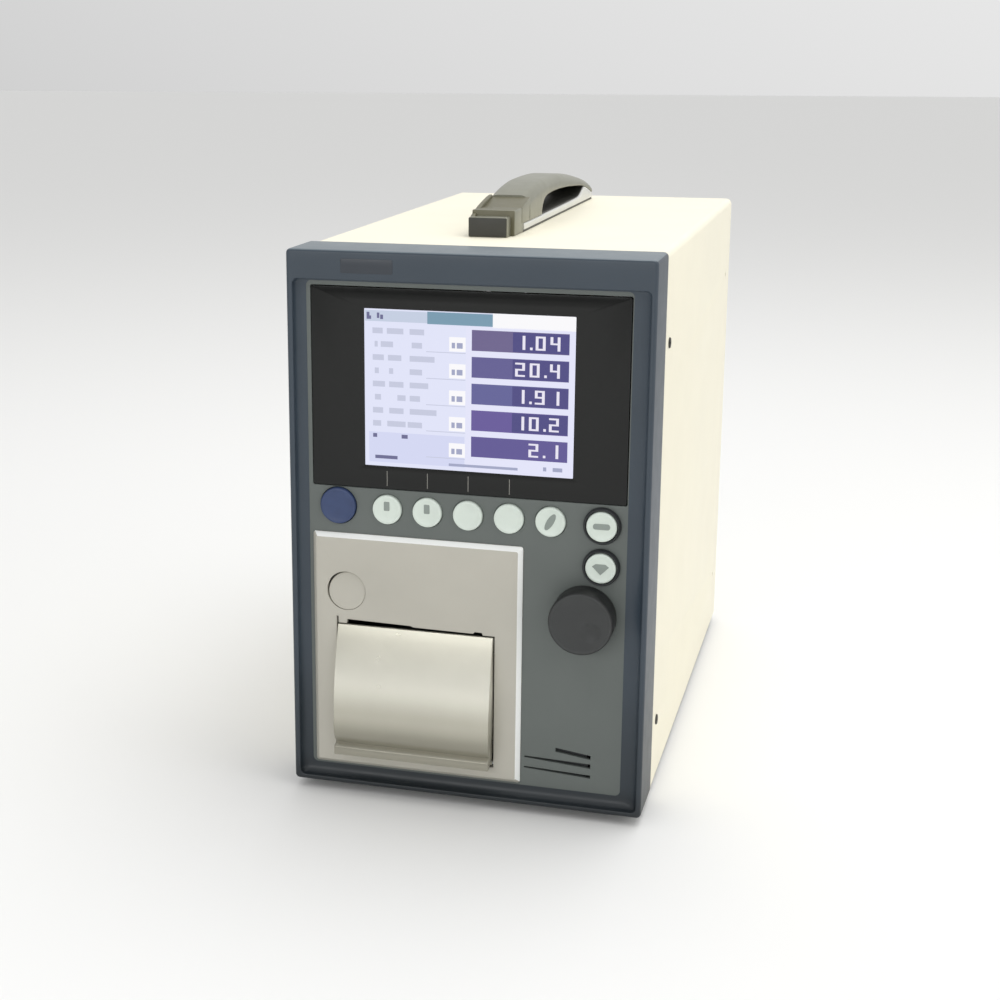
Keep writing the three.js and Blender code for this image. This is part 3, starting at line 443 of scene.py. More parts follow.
dress("fan_frame", black)
low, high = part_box("fan_rotor")
rotor = bmesh.new()
lathe(rotor, [(0, low.y), (8.9 * MM, low.y), (9.5 * MM, low.y + 0.6 * MM), (9.5 * MM, high.y - 1 * MM),
              (8.5 * MM, high.y), (0, high.y)], (fan.x, fan.z))
BLADES, STATIONS = 7, 7
BLADE_ROOT = 8.6 * MM
BLADE_REACH = half_across("fan_rotor") - 0.4 * MM - BLADE_ROOT
ROOT_PITCH, PITCH_FALL, SWEEP = 52, 20, 0.25
ROOT_CHORD, CHORD_GROWTH, HALF_THICK = 3.6 * MM, 2 * MM, 0.35 * MM
for blade in range(BLADES):
    sides = []
    for i in range(STATIONS):
        share = i / (STATIONS - 1)
        r = BLADE_ROOT + BLADE_REACH * share
        pitch = math.radians(ROOT_PITCH - PITCH_FALL * share)
        lead = 2 * math.pi * blade / BLADES + SWEEP * share
        chord = ROOT_CHORD + CHORD_GROWTH * share
        for across in (-1, 1):
            for thick in (-HALF_THICK, HALF_THICK):
                swing = lead + (across * chord * math.sin(pitch) + thick * math.cos(pitch)) / r
                y = (low.y + high.y) / 2 + across * chord * math.cos(pitch) - thick * math.sin(pitch)
                sides.append(rotor.verts.new((fan.x + r * math.cos(swing), y,
                                              fan.z + r * math.sin(swing))))
    rings = [[sides[4 * i + corner] for corner in (0, 1, 3, 2)] for i in range(STATIONS)]
    bridge(rotor, rings)
    rotor.faces.new(rings[0])
    rotor.faces.new(rings[-1])
piece("fan_wheel", rotor, "fan", [black], ["fan_rotor"])


def wire(bm, points, r, closed=False, sides=10):
    """A round wire along the points, which lie in one plane facing Y."""
    rings = []
    for i, here in enumerate(points):
        before = points[i - 1] if closed or i else here
        after = points[(i + 1) % len(points)] if closed or i + 1 < len(points) else here
        along = (Vector(after) - Vector(before)).normalized()
        side = along.cross(Vector((0, 1, 0)))
        rings.append([bm.verts.new(Vector(here) + side * (r * math.cos(2 * math.pi * k / sides))
                                   + Vector((0, r * math.sin(2 * math.pi * k / sides), 0)))
                      for k in range(sides)])
    bridge(bm, rings + rings[:1] if closed else rings)
    if not closed:
        bm.faces.new(rings[0])
        bm.faces.new(rings[-1])


low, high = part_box("fan_guard")
guard = bmesh.new()
wire_r = 0.68 * MM
for r in (6 * MM, 12 * MM, 17 * MM):
    wire(guard, [(x, high.y - wire_r, z) for x, z in circle(fan.x, fan.z, r, 48)], wire_r, True)
reach = half_across("fan_guard") - wire_r
for dx in (1, -1):
    wire(guard, [(fan.x - dx * reach, low.y + wire_r, fan.z - reach),
                 (fan.x + dx * reach, low.y + wire_r, fan.z + reach)], wire_r)
piece("fan_grille", guard, "chassis", [steel], ["fan_guard"])


# ---- Data connector and hose ports ----
# A plated D-shaped shell with a black insert of nine sockets, held by two hexagonal posts, and
# two turned brass hose tails with three barbs each, clamped by a nut.

low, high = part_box("data_connector")
panel_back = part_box("rear_panel")[1].y
d_shell = around(connector, 11.2, 4.3, 4.3, 2.4)
d_shell = [(x + (z - connector.z) * 0.16 * (1 if x > connector.x else -1), z) for x, z in d_shell]
socket_plate = bmesh.new()
plate(socket_plate, boxed(low, high, 1.5 * MM), [], panel_back + 0.1 * MM, panel_back + 1.1 * MM,
      0.2 * MM)
plate(socket_plate, d_shell, [grown(d_shell, -0.5 * MM)], panel_back + 0.9 * MM, high.y, 0.2 * MM)
for side in (-1, 1):
    post_x = connector.x + side * 13.6 * MM
    plate(socket_plate, circle(post_x, connector.z, 1.9 * MM, 6), [circle(post_x, connector.z, MM, 16)],
          panel_back + 0.9 * MM, high.y - 0.3 * MM, 0.15 * MM)
piece("connector_shell", socket_plate, "chassis", [steel], ["data_connector"])
insert = bmesh.new()
socket_places = [(i, 1.4) for i in range(-2, 3)] + [(i - 1.5, -1.4) for i in range(4)]
holes = [circle(connector.x + dx * 2.77 * MM, connector.z + dz * MM, 0.55 * MM, 12)
         for dx, dz in socket_places]
plate(insert, grown(d_shell, -0.6 * MM), holes, panel_back + 1.1 * MM, high.y - 0.6 * MM, 0.1 * MM)
piece("connector_insert", insert, "chassis", [black])

brass = look("turned_brass", (205, 172, 104), 0.3, metal=1, mottle=0.1, stretch=(1, 0.1, 1))
tail_outline = [(1.6, -34), (4.8, -34), (4.8, -13)]
for barb in range(3):
    start = 4 * barb - 13
    tail_outline += [(2.9, start), (3.6, start + 0.5), (3.5, start + 1), (2.7, start + 3.9)]
tail_outline += [(2.5, -0.3), (2.2, 0), (1.8, 0), (1.6, -0.3), (1.6, -34)]
for node, port in zip(("sample_inlet_port", "sample_outlet_port"), ports):
    tail = bmesh.new()
    lathe(tail, placed(tail_outline, 0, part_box(node)[1].y), (port.x, port.z))
    plate(tail, circle(port.x, port.z, 8.4 * MM, 6), [circle(port.x, port.z, 4.7 * MM, 32)],
          panel_back + 0.1 * MM, panel_back + 5 * MM, 0.5 * MM)
    piece(node + "_tail", tail, "chassis", [brass], [node])


# ---- Case cover ----
# One sheet of steel folded over the top and both sides with rounded bends, powder-coated cream
# inside and out. It slides over the chassis and is screwed at the sides.

def loft(bm, loops, closed=False):
    """Quads between loops of equally many points, as a tube round them all if closed."""
    rings = [[bm.verts.new(p) for p in loop] for loop in loops]
    bridge(bm, rings + rings[:1] if closed else rings)
    return rings


low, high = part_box("case_cover")
SHEET = 1.5 * MM
BEND = 4 * MM
cover_front, cover_rear = low.y, high.y
bend_steps = 10


def cover_section(inset):
    """The folded sheet's outline from its right foot over the top to its left foot."""
    r = BEND - inset
    x1, z1 = high.x - inset, high.z - inset
    points = [(x1, low.z + (z1 - r - low.z) * i / 8) for i in range(8)]
    points += [(x1 - r + r * math.cos(math.pi / 2 * i / bend_steps),
                z1 - r + r * math.sin(math.pi / 2 * i / bend_steps)) for i in range(bend_steps + 1)]
    return points + [(-x, z) for x, z in reversed(points)]


half_round = [(0.4 * MM, 0), (0.15 * MM, 0.12 * MM), (0, 0.4 * MM)]
section = [(cover_section(inset), cover_front + back) for inset, back in half_round]
section += [(cover_section(inset), cover_rear - back) for inset, back in reversed(half_round)]
section += [(cover_section(SHEET - inset), cover_rear - back) for inset, back in half_round]
section += [(cover_section(SHEET - inset), cover_front + back) for inset, back in reversed(half_round)]
cover = bmesh.new()
rings = [[cover.verts.new((x, y, z)) for x, z in points] for points, y in section]
for a, b in zip(rings, rings[1:] + rings[:1]):
    for i in range(len(a) - 1):
        cover.faces.new((a[i], a[i + 1], b[i + 1], b[i]))
for end in (0, -1):
    cover.faces.new([ring[end] for ring in rings])
shell = piece("folded_cover", cover, "chassis", [cream], ["case_cover"], sharp=50)


def carve(target, cutter):
    """Takes the cutter's solid away from the target."""
    mesh = bpy.data.meshes.new("cutter")
    bmesh.ops.recalc_face_normals(cutter, faces=cutter.faces)
    cutter.to_mesh(mesh)
    cutter.free()
    tool = bpy.data.objects.new("cutter", mesh)
    scene.collection.objects.link(tool)
    modifier = target.modifiers.new("cut", "BOOLEAN")
    modifier.object = tool
    modifier.operation = "DIFFERENCE"
    modifier.solver = "EXACT"
    bpy.context.view_layer.update()
    cut_mesh = bpy.data.meshes.new_from_object(
        target.evaluated_get(bpy.context.evaluated_depsgraph_get()))
    target.modifiers.remove(modifier)
    target.data = cut_mesh
    bpy.data.objects.remove(tool)


screw_at = middle("cover_screw_right_lower"), middle("cover_screw_right_upper")
spare_y = cover_rear - 22 * MM
drill = bmesh.new()
for screw in screw_at:
    lathe(drill, [(0, low.x - 5 * MM), (1.7 * MM, low.x - 5 * MM), (1.7 * MM, high.x + 5 * MM),
                  (0, high.x + 5 * MM)], (spare_y, screw.z), "X", 24)
carve(shell, drill)


# ---- Cover screws ----
# Four blackened pan-head screws with a cross recess hold the cover to the bezel's ears, two on
# each side just behind the bezel.

dark_steel = look("blackened_steel", (74, 72, 68), 0.45, metal=1, mottle=0.2)
cross = []
for turn in range(4):
    c, s = math.cos(turn * math.pi / 2), math.sin(turn * math.pi / 2)
    for u, v in ((0.4, -0.4), (1.7, -0.4), (1.7, 0.4)):
        cross.append(((u * c - v * s) * MM, (u * s + v * c) * MM))
for hand in ("left", "right"):
    side = 1 if hand == "right" else -1
    for height in ("lower", "upper"):
        node = f"cover_screw_{hand}_{height}"
        low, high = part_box(node)
        at = (low + high) / 2
        tip, skin = (high.x, high.x - 0.8 * MM) if side > 0 else (low.x, low.x + 0.8 * MM)
        head = bmesh.new()
        plate(head, circle(at.y, at.z, 2.95 * MM, 32), [[(at.y + y, at.z + z) for y, z in cross]],
              tip, skin, 0.45 * MM, "side", far_edge=0.05 * MM)
        lathe(head, [(0, skin + side * 0.2 * MM), (2 * MM, skin + side * 0.2 * MM), (2 * MM, skin),
                     (1.4 * MM, skin), (1.4 * MM, skin - side * 6.9 * MM), (0, skin - side * 6.9 * MM)],
              (at.y, at.z), "X", 24)
        piece(f"screw_{hand}_{height}", head, "chassis", [dark_steel], [node])


# ---- Front bezel ----
# A dark blue-grey moulding that caps the front of the case. Its outer edge is rounded, and its
# mouth curves in like a cove to meet the control panel, widest on the right and narrow at the top.

slate = look("slate_moulding", (57, 68, 79), 0.42, mottle=0.04, mottle_size=40, grain=0.22,
             grain_size=2200)
low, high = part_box("front_bezel")
# Painted shade: the slate darkens towards the bezel's bottom edge, where less light falls.
paint_light_by_height(slate, [(0, 0.3), (0.06, 0.6), (0.3, 0.95), (1, 0.95)], low.z, high.z)
face = low.y
bezel_back = cover_front - 0.3 * MM
panel_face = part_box("control_panel")[0].y
ROUND = 1.8 * MM
corner = 2.6 * MM


def tint(bm, index, chosen):
    """Gives the faces chosen by their centre and normal another of the piece's materials."""
    bmesh.ops.recalc_face_normals(bm, faces=bm.faces)
    for skin in bm.faces:
        if chosen(skin.calc_center_median(), skin.normal):
            skin.material_index = index


def frame_loop(x0, x1, z0, z1, r, y):
    """A rounded rectangle's points at a depth."""
    return [(x, y, z) for x, z in rounded(x0, x1, z0, z1, r, 8)]


loops = [frame_loop(low.x, high.x, low.z, high.z, corner, bezel_back)]
for i in range(7):
    turn = math.pi / 2 * i / 6
    inset = ROUND * (1 - math.cos(turn))
    loops.append(frame_loop(low.x + inset, high.x - inset, low.z + inset, high.z - inset,
                            corner - inset * 0.8, face + ROUND * (1 - math.sin(turn))))
mouth_front = (low.x + 3.5 * MM, high.x - 3 * MM, low.z + 3 * MM, high.z - 15.9 * MM)
mouth_back = (low.x + 9.5 * MM, high.x - 12.6 * MM, low.z + 9.5 * MM, high.z - 17.3 * MM)
lip = 0.5 * MM
for i in range(3):
    turn = math.pi / 2 * i / 2
    grow = lip * (1 - math.sin(turn))
    loops.append(frame_loop(mouth_front[0] - grow, mouth_front[1] + grow, mouth_front[2] - grow,
                            mouth_front[3] + grow, 3 * MM, face + lip * (1 - math.cos(turn))))
for i in range(1, 9):
    turn = math.pi / 2 * i / 8
    share = 1 - math.cos(turn) ** 0.8
    depth = lip + (panel_face - 0.1 * MM - face - lip) * math.sin(turn) ** 0.85
    edges = [a + (b - a) * share for a, b in zip(mouth_front, mouth_back)]
    loops.append(frame_loop(*edges, 3 * MM, face + depth))
WALL = 4 * MM
room = (low.x + WALL, high.x - WALL, low.z + WALL, high.z - WALL, 1 * MM)
loops.append(frame_loop(*room, panel_face - 0.05 * MM))
loops.append(frame_loop(*room, bezel_back))
moulding = bmesh.new()
loft(moulding, loops, closed=True)
# Painted highlight: the bezel's upward-facing faces along its top edge get a lighter copy of the slate,
# for the light from above.
tint(moulding, 1, lambda at, normal: normal.z > 0.7 and at.z > high.z - ROUND)
slate_painted_highlight = look("slate_painted_highlight", (96, 108, 116), 0.35, mottle=0.04, mottle_size=40, grain=0.15)
piece("bezel_moulding", moulding, "chassis", [slate, slate_painted_highlight], ["front_bezel"],
      sharp=50)
label = bmesh.new()
plate(label, rounded(low.x + 31 * MM, low.x + 60 * MM, high.z - 12.2 * MM, high.z - 4.4 * MM, 0.8 * MM),
      [], face - 0.15 * MM, face + 0.3 * MM, 0.12 * MM)
label_plate = look("label_plate", (50, 56, 64), 0.35, mottle=0.06)
piece("blank_label", label, "chassis", [label_plate])


# ---- Control panel and speaker ----
# A flat grey plate behind the bezel's mouth, cut for the window, the printer, the keys and the
# knob, with three slanting slots over the speaker.

panel_grey = look("panel_grey", (98, 104, 101), 0.55, mottle=0.03, mottle_size=30, grain=0.2)
low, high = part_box("control_panel")
window_low, window_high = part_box("display_window")
printer_low, printer_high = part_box("printer_frame")
soft_keys = [middle(f"soft_key_{i}") for i in range(1, 6)]
power = middle("power_button")
function_keys = [middle("function_key_upper"), middle("function_key_lower")]
knob = middle("control_knob")
FLANGE = 1.4 * MM
key_r = half_across("soft_key_1") - FLANGE
power_r = half_across("power_button") - FLANGE
FIT = 0.4 * MM
cuts = [boxed(window_low, window_high, 1 * MM, inset=-FIT),
        rounded(printer_low.x + 5 * MM, printer_high.x - 5 * MM, printer_low.z + 4 * MM,
                printer_high.z - 4 * MM, 1 * MM),
        circle(power.x, power.z, power_r + FIT)]
cuts += [circle(key.x, key.z, key_r + FIT) for key in soft_keys + function_keys]
cuts.append(circle(knob.x, knob.z, 5 * MM, 24))
speaker = middle("speaker")
slot_right = speaker.x + 18.6 * MM
SLOT_RISE = 1.4 * MM
for left, z, thick, thin in ((-1, 5, 2.4, 2.4), (-18.5, -0.2, 2.6, 0.9), (-18.5, -6.4, 1.8, 0.9)):
    left, z = speaker.x + left * MM, speaker.z + z * MM
    cuts.append([(left, z + SLOT_RISE), (slot_right, z - thick / 2 * MM),
                 (slot_right, z + thick / 2 * MM), (left, z + SLOT_RISE + thin * MM)])
panel = bmesh.new()
plate(panel, boxed(low, high, 1 * MM), cuts, low.y, high.y, 0.25 * MM)
piece("panel_plate", panel, "chassis", [panel_grey], ["control_panel"])
dress("speaker", black)


# ---- Display ----
# A colour liquid-crystal module in a metal can, behind a gloss acrylic window that is printed
# black round the lit area. Four fine pale lines under the picture point at the keys below.

gloss_black = look("window_black", (21, 22, 21), 0.14, mottle=0.05, uneven=0.03)
gloss_black.node_tree.nodes["Principled BSDF"].inputs["Specular IOR Level"].default_value = 0.3
tick_ink = look("tick_ink", (132, 130, 124), 0.5, mottle=0.05)
low, high = window_low, window_high
can_low, can_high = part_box("lcd_module")
screen_x = can_low.x + 72 * MM
screen_z = (can_low.z + can_high.z) / 2
SCREEN_WIDTH, SCREEN_HEIGHT = 115.2 * MM, 86.4 * MM
left, bottom = screen_x - SCREEN_WIDTH / 2, screen_z - SCREEN_HEIGHT / 2
lit_area = rounded(left, left + SCREEN_WIDTH, bottom, bottom + SCREEN_HEIGHT, 0.4 * MM, 2)
window = bmesh.new()
plate(window, boxed(low, high, 1.2 * MM), [lit_area], low.y, high.y, 0.2 * MM)
piece("window_plate", window, "chassis", [gloss_black], ["display_window"])
ticks = bmesh.new()
for key in range(4):
    x = soft_keys[key].x
    tick = rounded(x - 0.2 * MM, x + 0.2 * MM, low.z + 1.5 * MM, low.z + 10 * MM, 0.1 * MM, 1)
    plate(ticks, tick, [], low.y - 0.04 * MM, low.y + 0.1 * MM, 0.01 * MM, steps=1)
piece("tick_lines", ticks, "chassis", [tick_ink])


def lit(name, colour):
    """A lit patch of the display."""
    return blank(name, Base_Color=(0.02, 0.02, 0.025, 1), Roughness=0.15,
                 Emission_Color=linear(*colour) + [1], Emission_Strength=0.92)


SCREEN_COLOURS = {
    "ground": (226, 229, 250), "lower": (212, 216, 244), "white": (252, 251, 253),
    "header": (196, 206, 226), "teal": (112, 150, 172), "edge": (229, 230, 251),
    "words": (197, 201, 222), "units": (158, 163, 194), "ink": (96, 96, 138),
    "value_1": (98, 86, 134), "value_2": (84, 78, 140), "value_3": (84, 84, 146),
    "value_4": (90, 72, 148), "value_5": (82, 70, 142), "value_dark": (56, 50, 122),
    "digit": (236, 232, 246)}
screen_looks = {name: lit("screen_" + name, colour) for name, colour in SCREEN_COLOURS.items()}
screen_order = list(SCREEN_COLOURS)
screen = bmesh.new()
glass_y = low.y + 0.15 * MM


def tile(colour, u0, u1, v0, v1, layer=1):
    """A patch of the picture: shares of its width from the left and of its height from the top."""
    y = glass_y - layer * 0.02 * MM
    x0, x1 = left + u0 * SCREEN_WIDTH, left + u1 * SCREEN_WIDTH
    z1, z0 = bottom + (1 - v0) * SCREEN_HEIGHT, bottom + (1 - v1) * SCREEN_HEIGHT
    front = [screen.verts.new((x, y, z)) for x, z in ((x0, z0), (x1, z0), (x1, z1), (x0, z1))]
    back = [screen.verts.new((v.co.x, glass_y + 0.4 * MM, v.co.z)) for v in front]
    edges = [(i, (i + 1) % 4) for i in range(4)]
    for side in [front, back] + [[front[i], front[j], back[j], back[i]] for i, j in edges]:
        screen.faces.new(side).material_index = screen_order.index(colour)


EDGE = 0.0005
tile("ground", EDGE, 1 - EDGE, EDGE, 1 - EDGE, 0)
tile("edge", 0.49, 1 - EDGE, 0.085, 1 - EDGE)
tile("lower", 0.02, 0.485, 0.78, 0.975)
tile("header", 0.005, 0.305, 0.01, 0.078)
tile("teal", 0.305, 0.615, 0.006, 0.082)
tile("white", 0.615, 1 - EDGE, EDGE, 0.09)
for spans in ((0.012, 0.026, 0.022, 0.066), (0.026, 0.034, 0.044, 0.066),
              (0.062, 0.074, 0.024, 0.058), (0.078, 0.092, 0.036, 0.064)):
    tile("ink", *spans, 2)
WORDS = (((0.04, 0.09), (0.11, 0.19), (0.22, 0.29)), ((0.05, 0.065), (0.08, 0.14), (0.23, 0.28)),
         ((0.04, 0.095), (0.115, 0.18), (0.22, 0.34)), ((0.05, 0.07), (0.12, 0.14), (0.22, 0.28)),
         ((0.04, 0.1), (0.12, 0.19), (0.22, 0.31)), ((0.05, 0.08), (0.16, 0.2), (0.22, 0.27)),
         ((0.04, 0.09), (0.12, 0.19), (0.22, 0.35)), ((0.04, 0.08), (0.11, 0.2), (0.21, 0.28)))
for row, spans in enumerate(WORDS):
    v = 0.118 + row * 0.084
    for u0, u1 in spans:
        tile("words", u0, u1, v, v + 0.036)
ROW_PITCH, ROW_HEIGHT, FIRST_ROW = 0.167, 0.129, 0.106
for row in range(5):
    v = FIRST_ROW + row * ROW_PITCH
    tile("white", 0.41, 0.488, v + 0.05, v + 0.14, 2)
    tile("units", 0.422, 0.438, v + 0.085, v + 0.12, 3)
    tile("units", 0.446, 0.474, v + 0.085, v + 0.12, 3)
    tile("words", 0.3, 0.488, v + 0.146, v + 0.151, 3)
    tile(f"value_{row + 1}", 0.517, 0.972, v, v + ROW_HEIGHT, 2)
    if row < 4:
        tile("value_dark", 0.71, 0.972, v + 0.004, v + ROW_HEIGHT - 0.004, 3)
for colour, *spans in (("ink", 0.05, 0.16, 0.93, 0.952), ("ink", 0.04, 0.06, 0.79, 0.815),
                       ("ink", 0.18, 0.21, 0.79, 0.815), ("units", 0.41, 0.74, 0.955, 0.972),
                       ("units", 0.86, 0.875, 0.94, 0.965), ("units", 0.905, 0.95, 0.94, 0.965)):
    tile(colour, *spans, 2)

# Seven bars of each digit: the share of its box that each fills, from left, right, top, bottom.
BARS = {"a": (0, 1, 0, 0.13), "b": (0.72, 1, 0, 0.53), "c": (0.72, 1, 0.47, 1), "d": (0, 1, 0.87, 1),
        "e": (0, 0.28, 0.47, 1), "f": (0, 0.28, 0, 0.53), "g": (0, 1, 0.44, 0.56)}
DIGITS = {"0": "abcdef", "1": "bc", "2": "abged", "4": "fgbc", "9": "abcdfg"}
for row, reading in enumerate(("1.04", "20.4", "1.91", "10.2", " 2.1")):
    u = 0.722
    for sign in reading:
        v = FIRST_ROW + row * ROW_PITCH + 0.022
        if sign == ".":
            tile("digit", u, u + 0.012, v + 0.07, v + 0.086, 4)
            u += 0.026
            continue
        for bar in DIGITS.get(sign, ""):
            a, b, c, d = BARS[bar]
            tile("digit", u + 0.046 * a, u + 0.046 * b, v + 0.086 * c, v + 0.086 * d, 4)
        u += 0.068
piece("screen_picture", screen, "chassis", [screen_looks[name] for name in screen_order],
      sharp=20)
dress("lcd_module", zinc)


# ---- Keys ----
# Round moulded caps with a raised rim and a dished face, each on a rubber spring over a switch.
# The power key is blue and larger; the two function keys stand taller in black rings.

pale_key = look("pale_key", (214, 224, 215), 0.38, mottle=0.03, mottle_size=120)
grey_print = look("grey_print", (138, 147, 141), 0.45, mottle=0.06)
blue_key = look("blue_key", (50, 66, 104), 0.4, mottle=0.08, mottle_size=150)


def key_cap(name, node, r, paint):
    """A turned cap with a dished face, a rolled rim and a flange behind the panel."""
    low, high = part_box(node)
    at = middle(node)
    cap = bmesh.new()
    lathe(cap, [(0, low.y + 0.75 * MM), (r * 0.45, low.y + 0.66 * MM), (r * 0.7, low.y + 0.45 * MM)]
          + placed([(-1.6, 0.14), (-1.1, 0), (-0.6, 0.04), (-0.18, 0.3), (0, 0.8)], r, low.y)
          + [(r, high.y - MM), (r + FLANGE, high.y - MM), (r + FLANGE, high.y), (0, high.y)],
          (at.x, at.z), sides=64)
    piece(name, cap, node, [paint], [node], sharp=45)


def printed(name, body, outline):
    """A thin plain mark laid on a key's dished face."""
    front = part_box(body)[0].y
    mark = bmesh.new()
    plate(mark, outline, [], front + 0.45 * MM, front + 0.9 * MM, 0.08 * MM)
    piece(name, mark, body, [grey_print])


for i in range(1, 6):
    key_cap(f"key_cap_{i}", f"soft_key_{i}", key_r, pale_key)
key_cap("power_cap", "power_button", power_r, blue_key)
for i, key in enumerate(soft_keys[:2], 1):
    printed(f"key_mark_{i}", f"soft_key_{i}",
            rounded(key.x - 1.7 * MM, key.x + 1.5 * MM, key.z - 0.6 * MM, key.z + 4.6 * MM, 0.5 * MM, 3))
leaf = []
for i in range(20):
    turn = 2 * math.pi * i / 20
    a, b = 5.2 * math.cos(turn), 1.9 * math.sin(turn)
    leaf.append((a * 0.5 - b * 0.87, a * 0.87 + b * 0.5))
printed("key_mark_5", "soft_key_5", placed(leaf, soft_keys[4].x, soft_keys[4].z))

low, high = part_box("function_ring_upper")
ring_r = half_across("function_ring_upper")
for which, key in zip(("upper", "lower"), function_keys):
    key_cap(f"function_cap_{which}", f"function_key_{which}", key_r, pale_key)
    ring = bmesh.new()
    lathe(ring, placed([(0.5, 0.5), (0.8, 0.1), (1.1, 0)], key_r, low.y)
          + placed([(-0.6, 0.4), (-0.1, 1.3)], ring_r, low.y) + [(ring_r, high.y)]
          + [(key_r + 0.5 * MM, high.y), (key_r + 0.5 * MM, low.y + 0.5 * MM)], (key.x, key.z), sides=64)
    piece(f"key_ring_{which}", ring, "chassis", [black],
          [f"function_ring_{which}"], sharp=45)
upper, lower = function_keys
printed("function_mark_upper", "function_key_upper", around(upper, 4.6, 1.5, 1.7, 1.4, 5))
printed("function_mark_lower", "function_key_lower",
        placed([(-4.6, 1), (0, -3.6), (4.6, 1), (2.6, 2.4), (-2.6, 2.4)], lower.x, lower.z))


# ---- Control knob ----
# A soft-touch knob pressed on the encoder's steel shaft, with a chamfered rim, a flat face and
# a finger dimple low on its right.

soft_touch = look("soft_touch", (52, 54, 54), 0.55, mottle=0.1, mottle_size=70, grain=0.3)
knob_side = look("knob_side", (30, 31, 31), 0.5, mottle=0.06, grain=0.3)
low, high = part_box("control_knob")
knob_r = half_across("control_knob")
turned = bmesh.new()
FACE_RINGS = 26
profile = [((knob_r - 2.2 * MM) * i / FACE_RINGS, low.y + 0.25 * MM) for i in range(FACE_RINGS + 1)]
profile += placed([(-1.7, 0.04), (-1.3, 0), (-0.7, 0.3), (-0.25, 0.9), (0, 2)], knob_r, low.y)
profile += placed([(0, -0.5), (-0.4, 0)], knob_r, high.y)
profile += placed([(9, 0), (9, -4.8), (3.15, -4.8)], 0, high.y)
profile += placed([(3.15, 5), (0, 5)], 0, low.y)
lathe(turned, profile, (knob.x, knob.z), sides=96)
dimple_x, dimple_z = knob.x + 6 * MM, knob.z - 4.2 * MM
DIMPLE_R, DIMPLE_DEPTH = 5.4 * MM, 1.3 * MM
for vertex in turned.verts:
    away = math.hypot(vertex.co.x - dimple_x, vertex.co.z - dimple_z) / DIMPLE_R
    if away < 1 and vertex.co.y < low.y + 1 * MM:
        vertex.co.y += DIMPLE_DEPTH * (1 - away * away) ** 0.8
tint(turned, 1, lambda at, normal: math.hypot(at.x - knob.x, at.z - knob.z) > knob_r - 0.9 * MM)
piece("knob_turning", turned, "knob", [soft_touch, knob_side], ["control_knob"],
      sharp=50)
dress("encoder_shaft", steel)
dress("encoder_body", zinc)


# ---- Printer frame ----
# A warm grey moulding that clips into the panel round the paper printer: a raised plate with
# chamfered edges, the door's opening, a paper slot above it and the round hole of the release.

beige = look("printer_beige", (186, 183, 172), 0.45, mottle=0.025, mottle_size=35, grain=0.18)
door_low, door_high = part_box("printer_door")
release = middle("door_release_button")
release_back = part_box("door_release_button")[1].y
release_r = half_across("door_release_button") - 1.5 * MM
plate_front = printer_low.y
CHAMFER = 2.4 * MM
CHAMFER_DEPTH = 2.9 * MM
PLATE_THICK = 2.6 * MM
SIDE_GAP = 0.7


def frame_rect(inset, y):
    """The printer frame's outline at a depth, moved inwards."""
    return frame_loop(printer_low.x + inset, printer_high.x - inset, printer_low.z + inset,
                      printer_high.z - inset, 1.6 * MM - inset * 0.5, y)


door_opening = placed([(-SIDE_GAP, -SIDE_GAP)], door_low.x, door_low.z)
door_opening += placed([(SIDE_GAP, -SIDE_GAP)], door_high.x, door_low.z)
door_opening += placed([(SIDE_GAP, 0.9), (-6, 0.9), (-6.5, 2.3), (-10.5, 2.5), (-11.5, 1.4)],
                       door_high.x, door_high.z)
door_opening += placed([(44, 1.8), (42, 2.5), (9, 3.1), (5.6, 3.2), (5.2, 0.7), (0.4, 0.7), (0.3, 4.6),
                        (-SIDE_GAP, 4.6)], door_low.x, door_high.z)
release_hole = circle(release.x, release.z, release_r + 0.2 * MM, 64)
moulded = bmesh.new()
face_loop = boxed(printer_low, printer_high, 1 * MM, 8, CHAMFER)
loft_rings = [loft(moulded, [
    [(x, plate_front, z) for x, z in grown(face_loop, -0.3 * MM)],
    [(x, plate_front + 0.08 * MM, z) for x, z in face_loop],
    [(x, plate_front + 0.3 * MM, z) for x, z in grown(face_loop, 0.3 * MM)],
    frame_rect(0.35 * MM, plate_front + CHAMFER_DEPTH - 0.7 * MM),
    frame_rect(0.05 * MM, plate_front + CHAMFER_DEPTH - 0.3 * MM),
    frame_rect(0, plate_front + CHAMFER_DEPTH - 0.05 * MM),
    [(x, plate_front + CHAMFER_DEPTH - 0.05 * MM, z) for x, z in grown(face_loop, -1 * MM)],
    [(x, plate_front + PLATE_THICK, z) for x, z in grown(face_loop, -1 * MM)]])]
HOLE_EDGE = 0.3 * MM
hole_section = [(HOLE_EDGE, 0), (0.09 * MM, 0.09 * MM), (0, HOLE_EDGE), (0, PLATE_THICK)]
for hole in (door_opening, release_hole):
    loft_rings.append(loft(moulded, [[(x, plate_front + y, z) for x, z in grown(hole, inset)]
                                     for inset, y in hole_section]))
for end in (0, -1):
    edges = []
    for rings in loft_rings:
        ring = rings[end]
        edges += [moulded.edges.get((ring[i], ring[(i + 1) % len(ring)])) for i in range(len(ring))]
    bmesh.ops.triangle_fill(moulded, edges=edges, use_beauty=True)
COLLAR = 5.4 * MM
plate(moulded, rounded(printer_low.x + COLLAR, printer_high.x - COLLAR, printer_low.z + 4.4 * MM,
                       printer_high.z - 4.4 * MM, 1.5 * MM),
      [rounded(printer_low.x + COLLAR + 1.8 * MM, printer_high.x - COLLAR - 1.8 * MM,
               printer_low.z + 6.2 * MM, printer_high.z - 6.2 * MM, 1 * MM)],
      plate_front + PLATE_THICK, printer_high.y, 0.1 * MM)


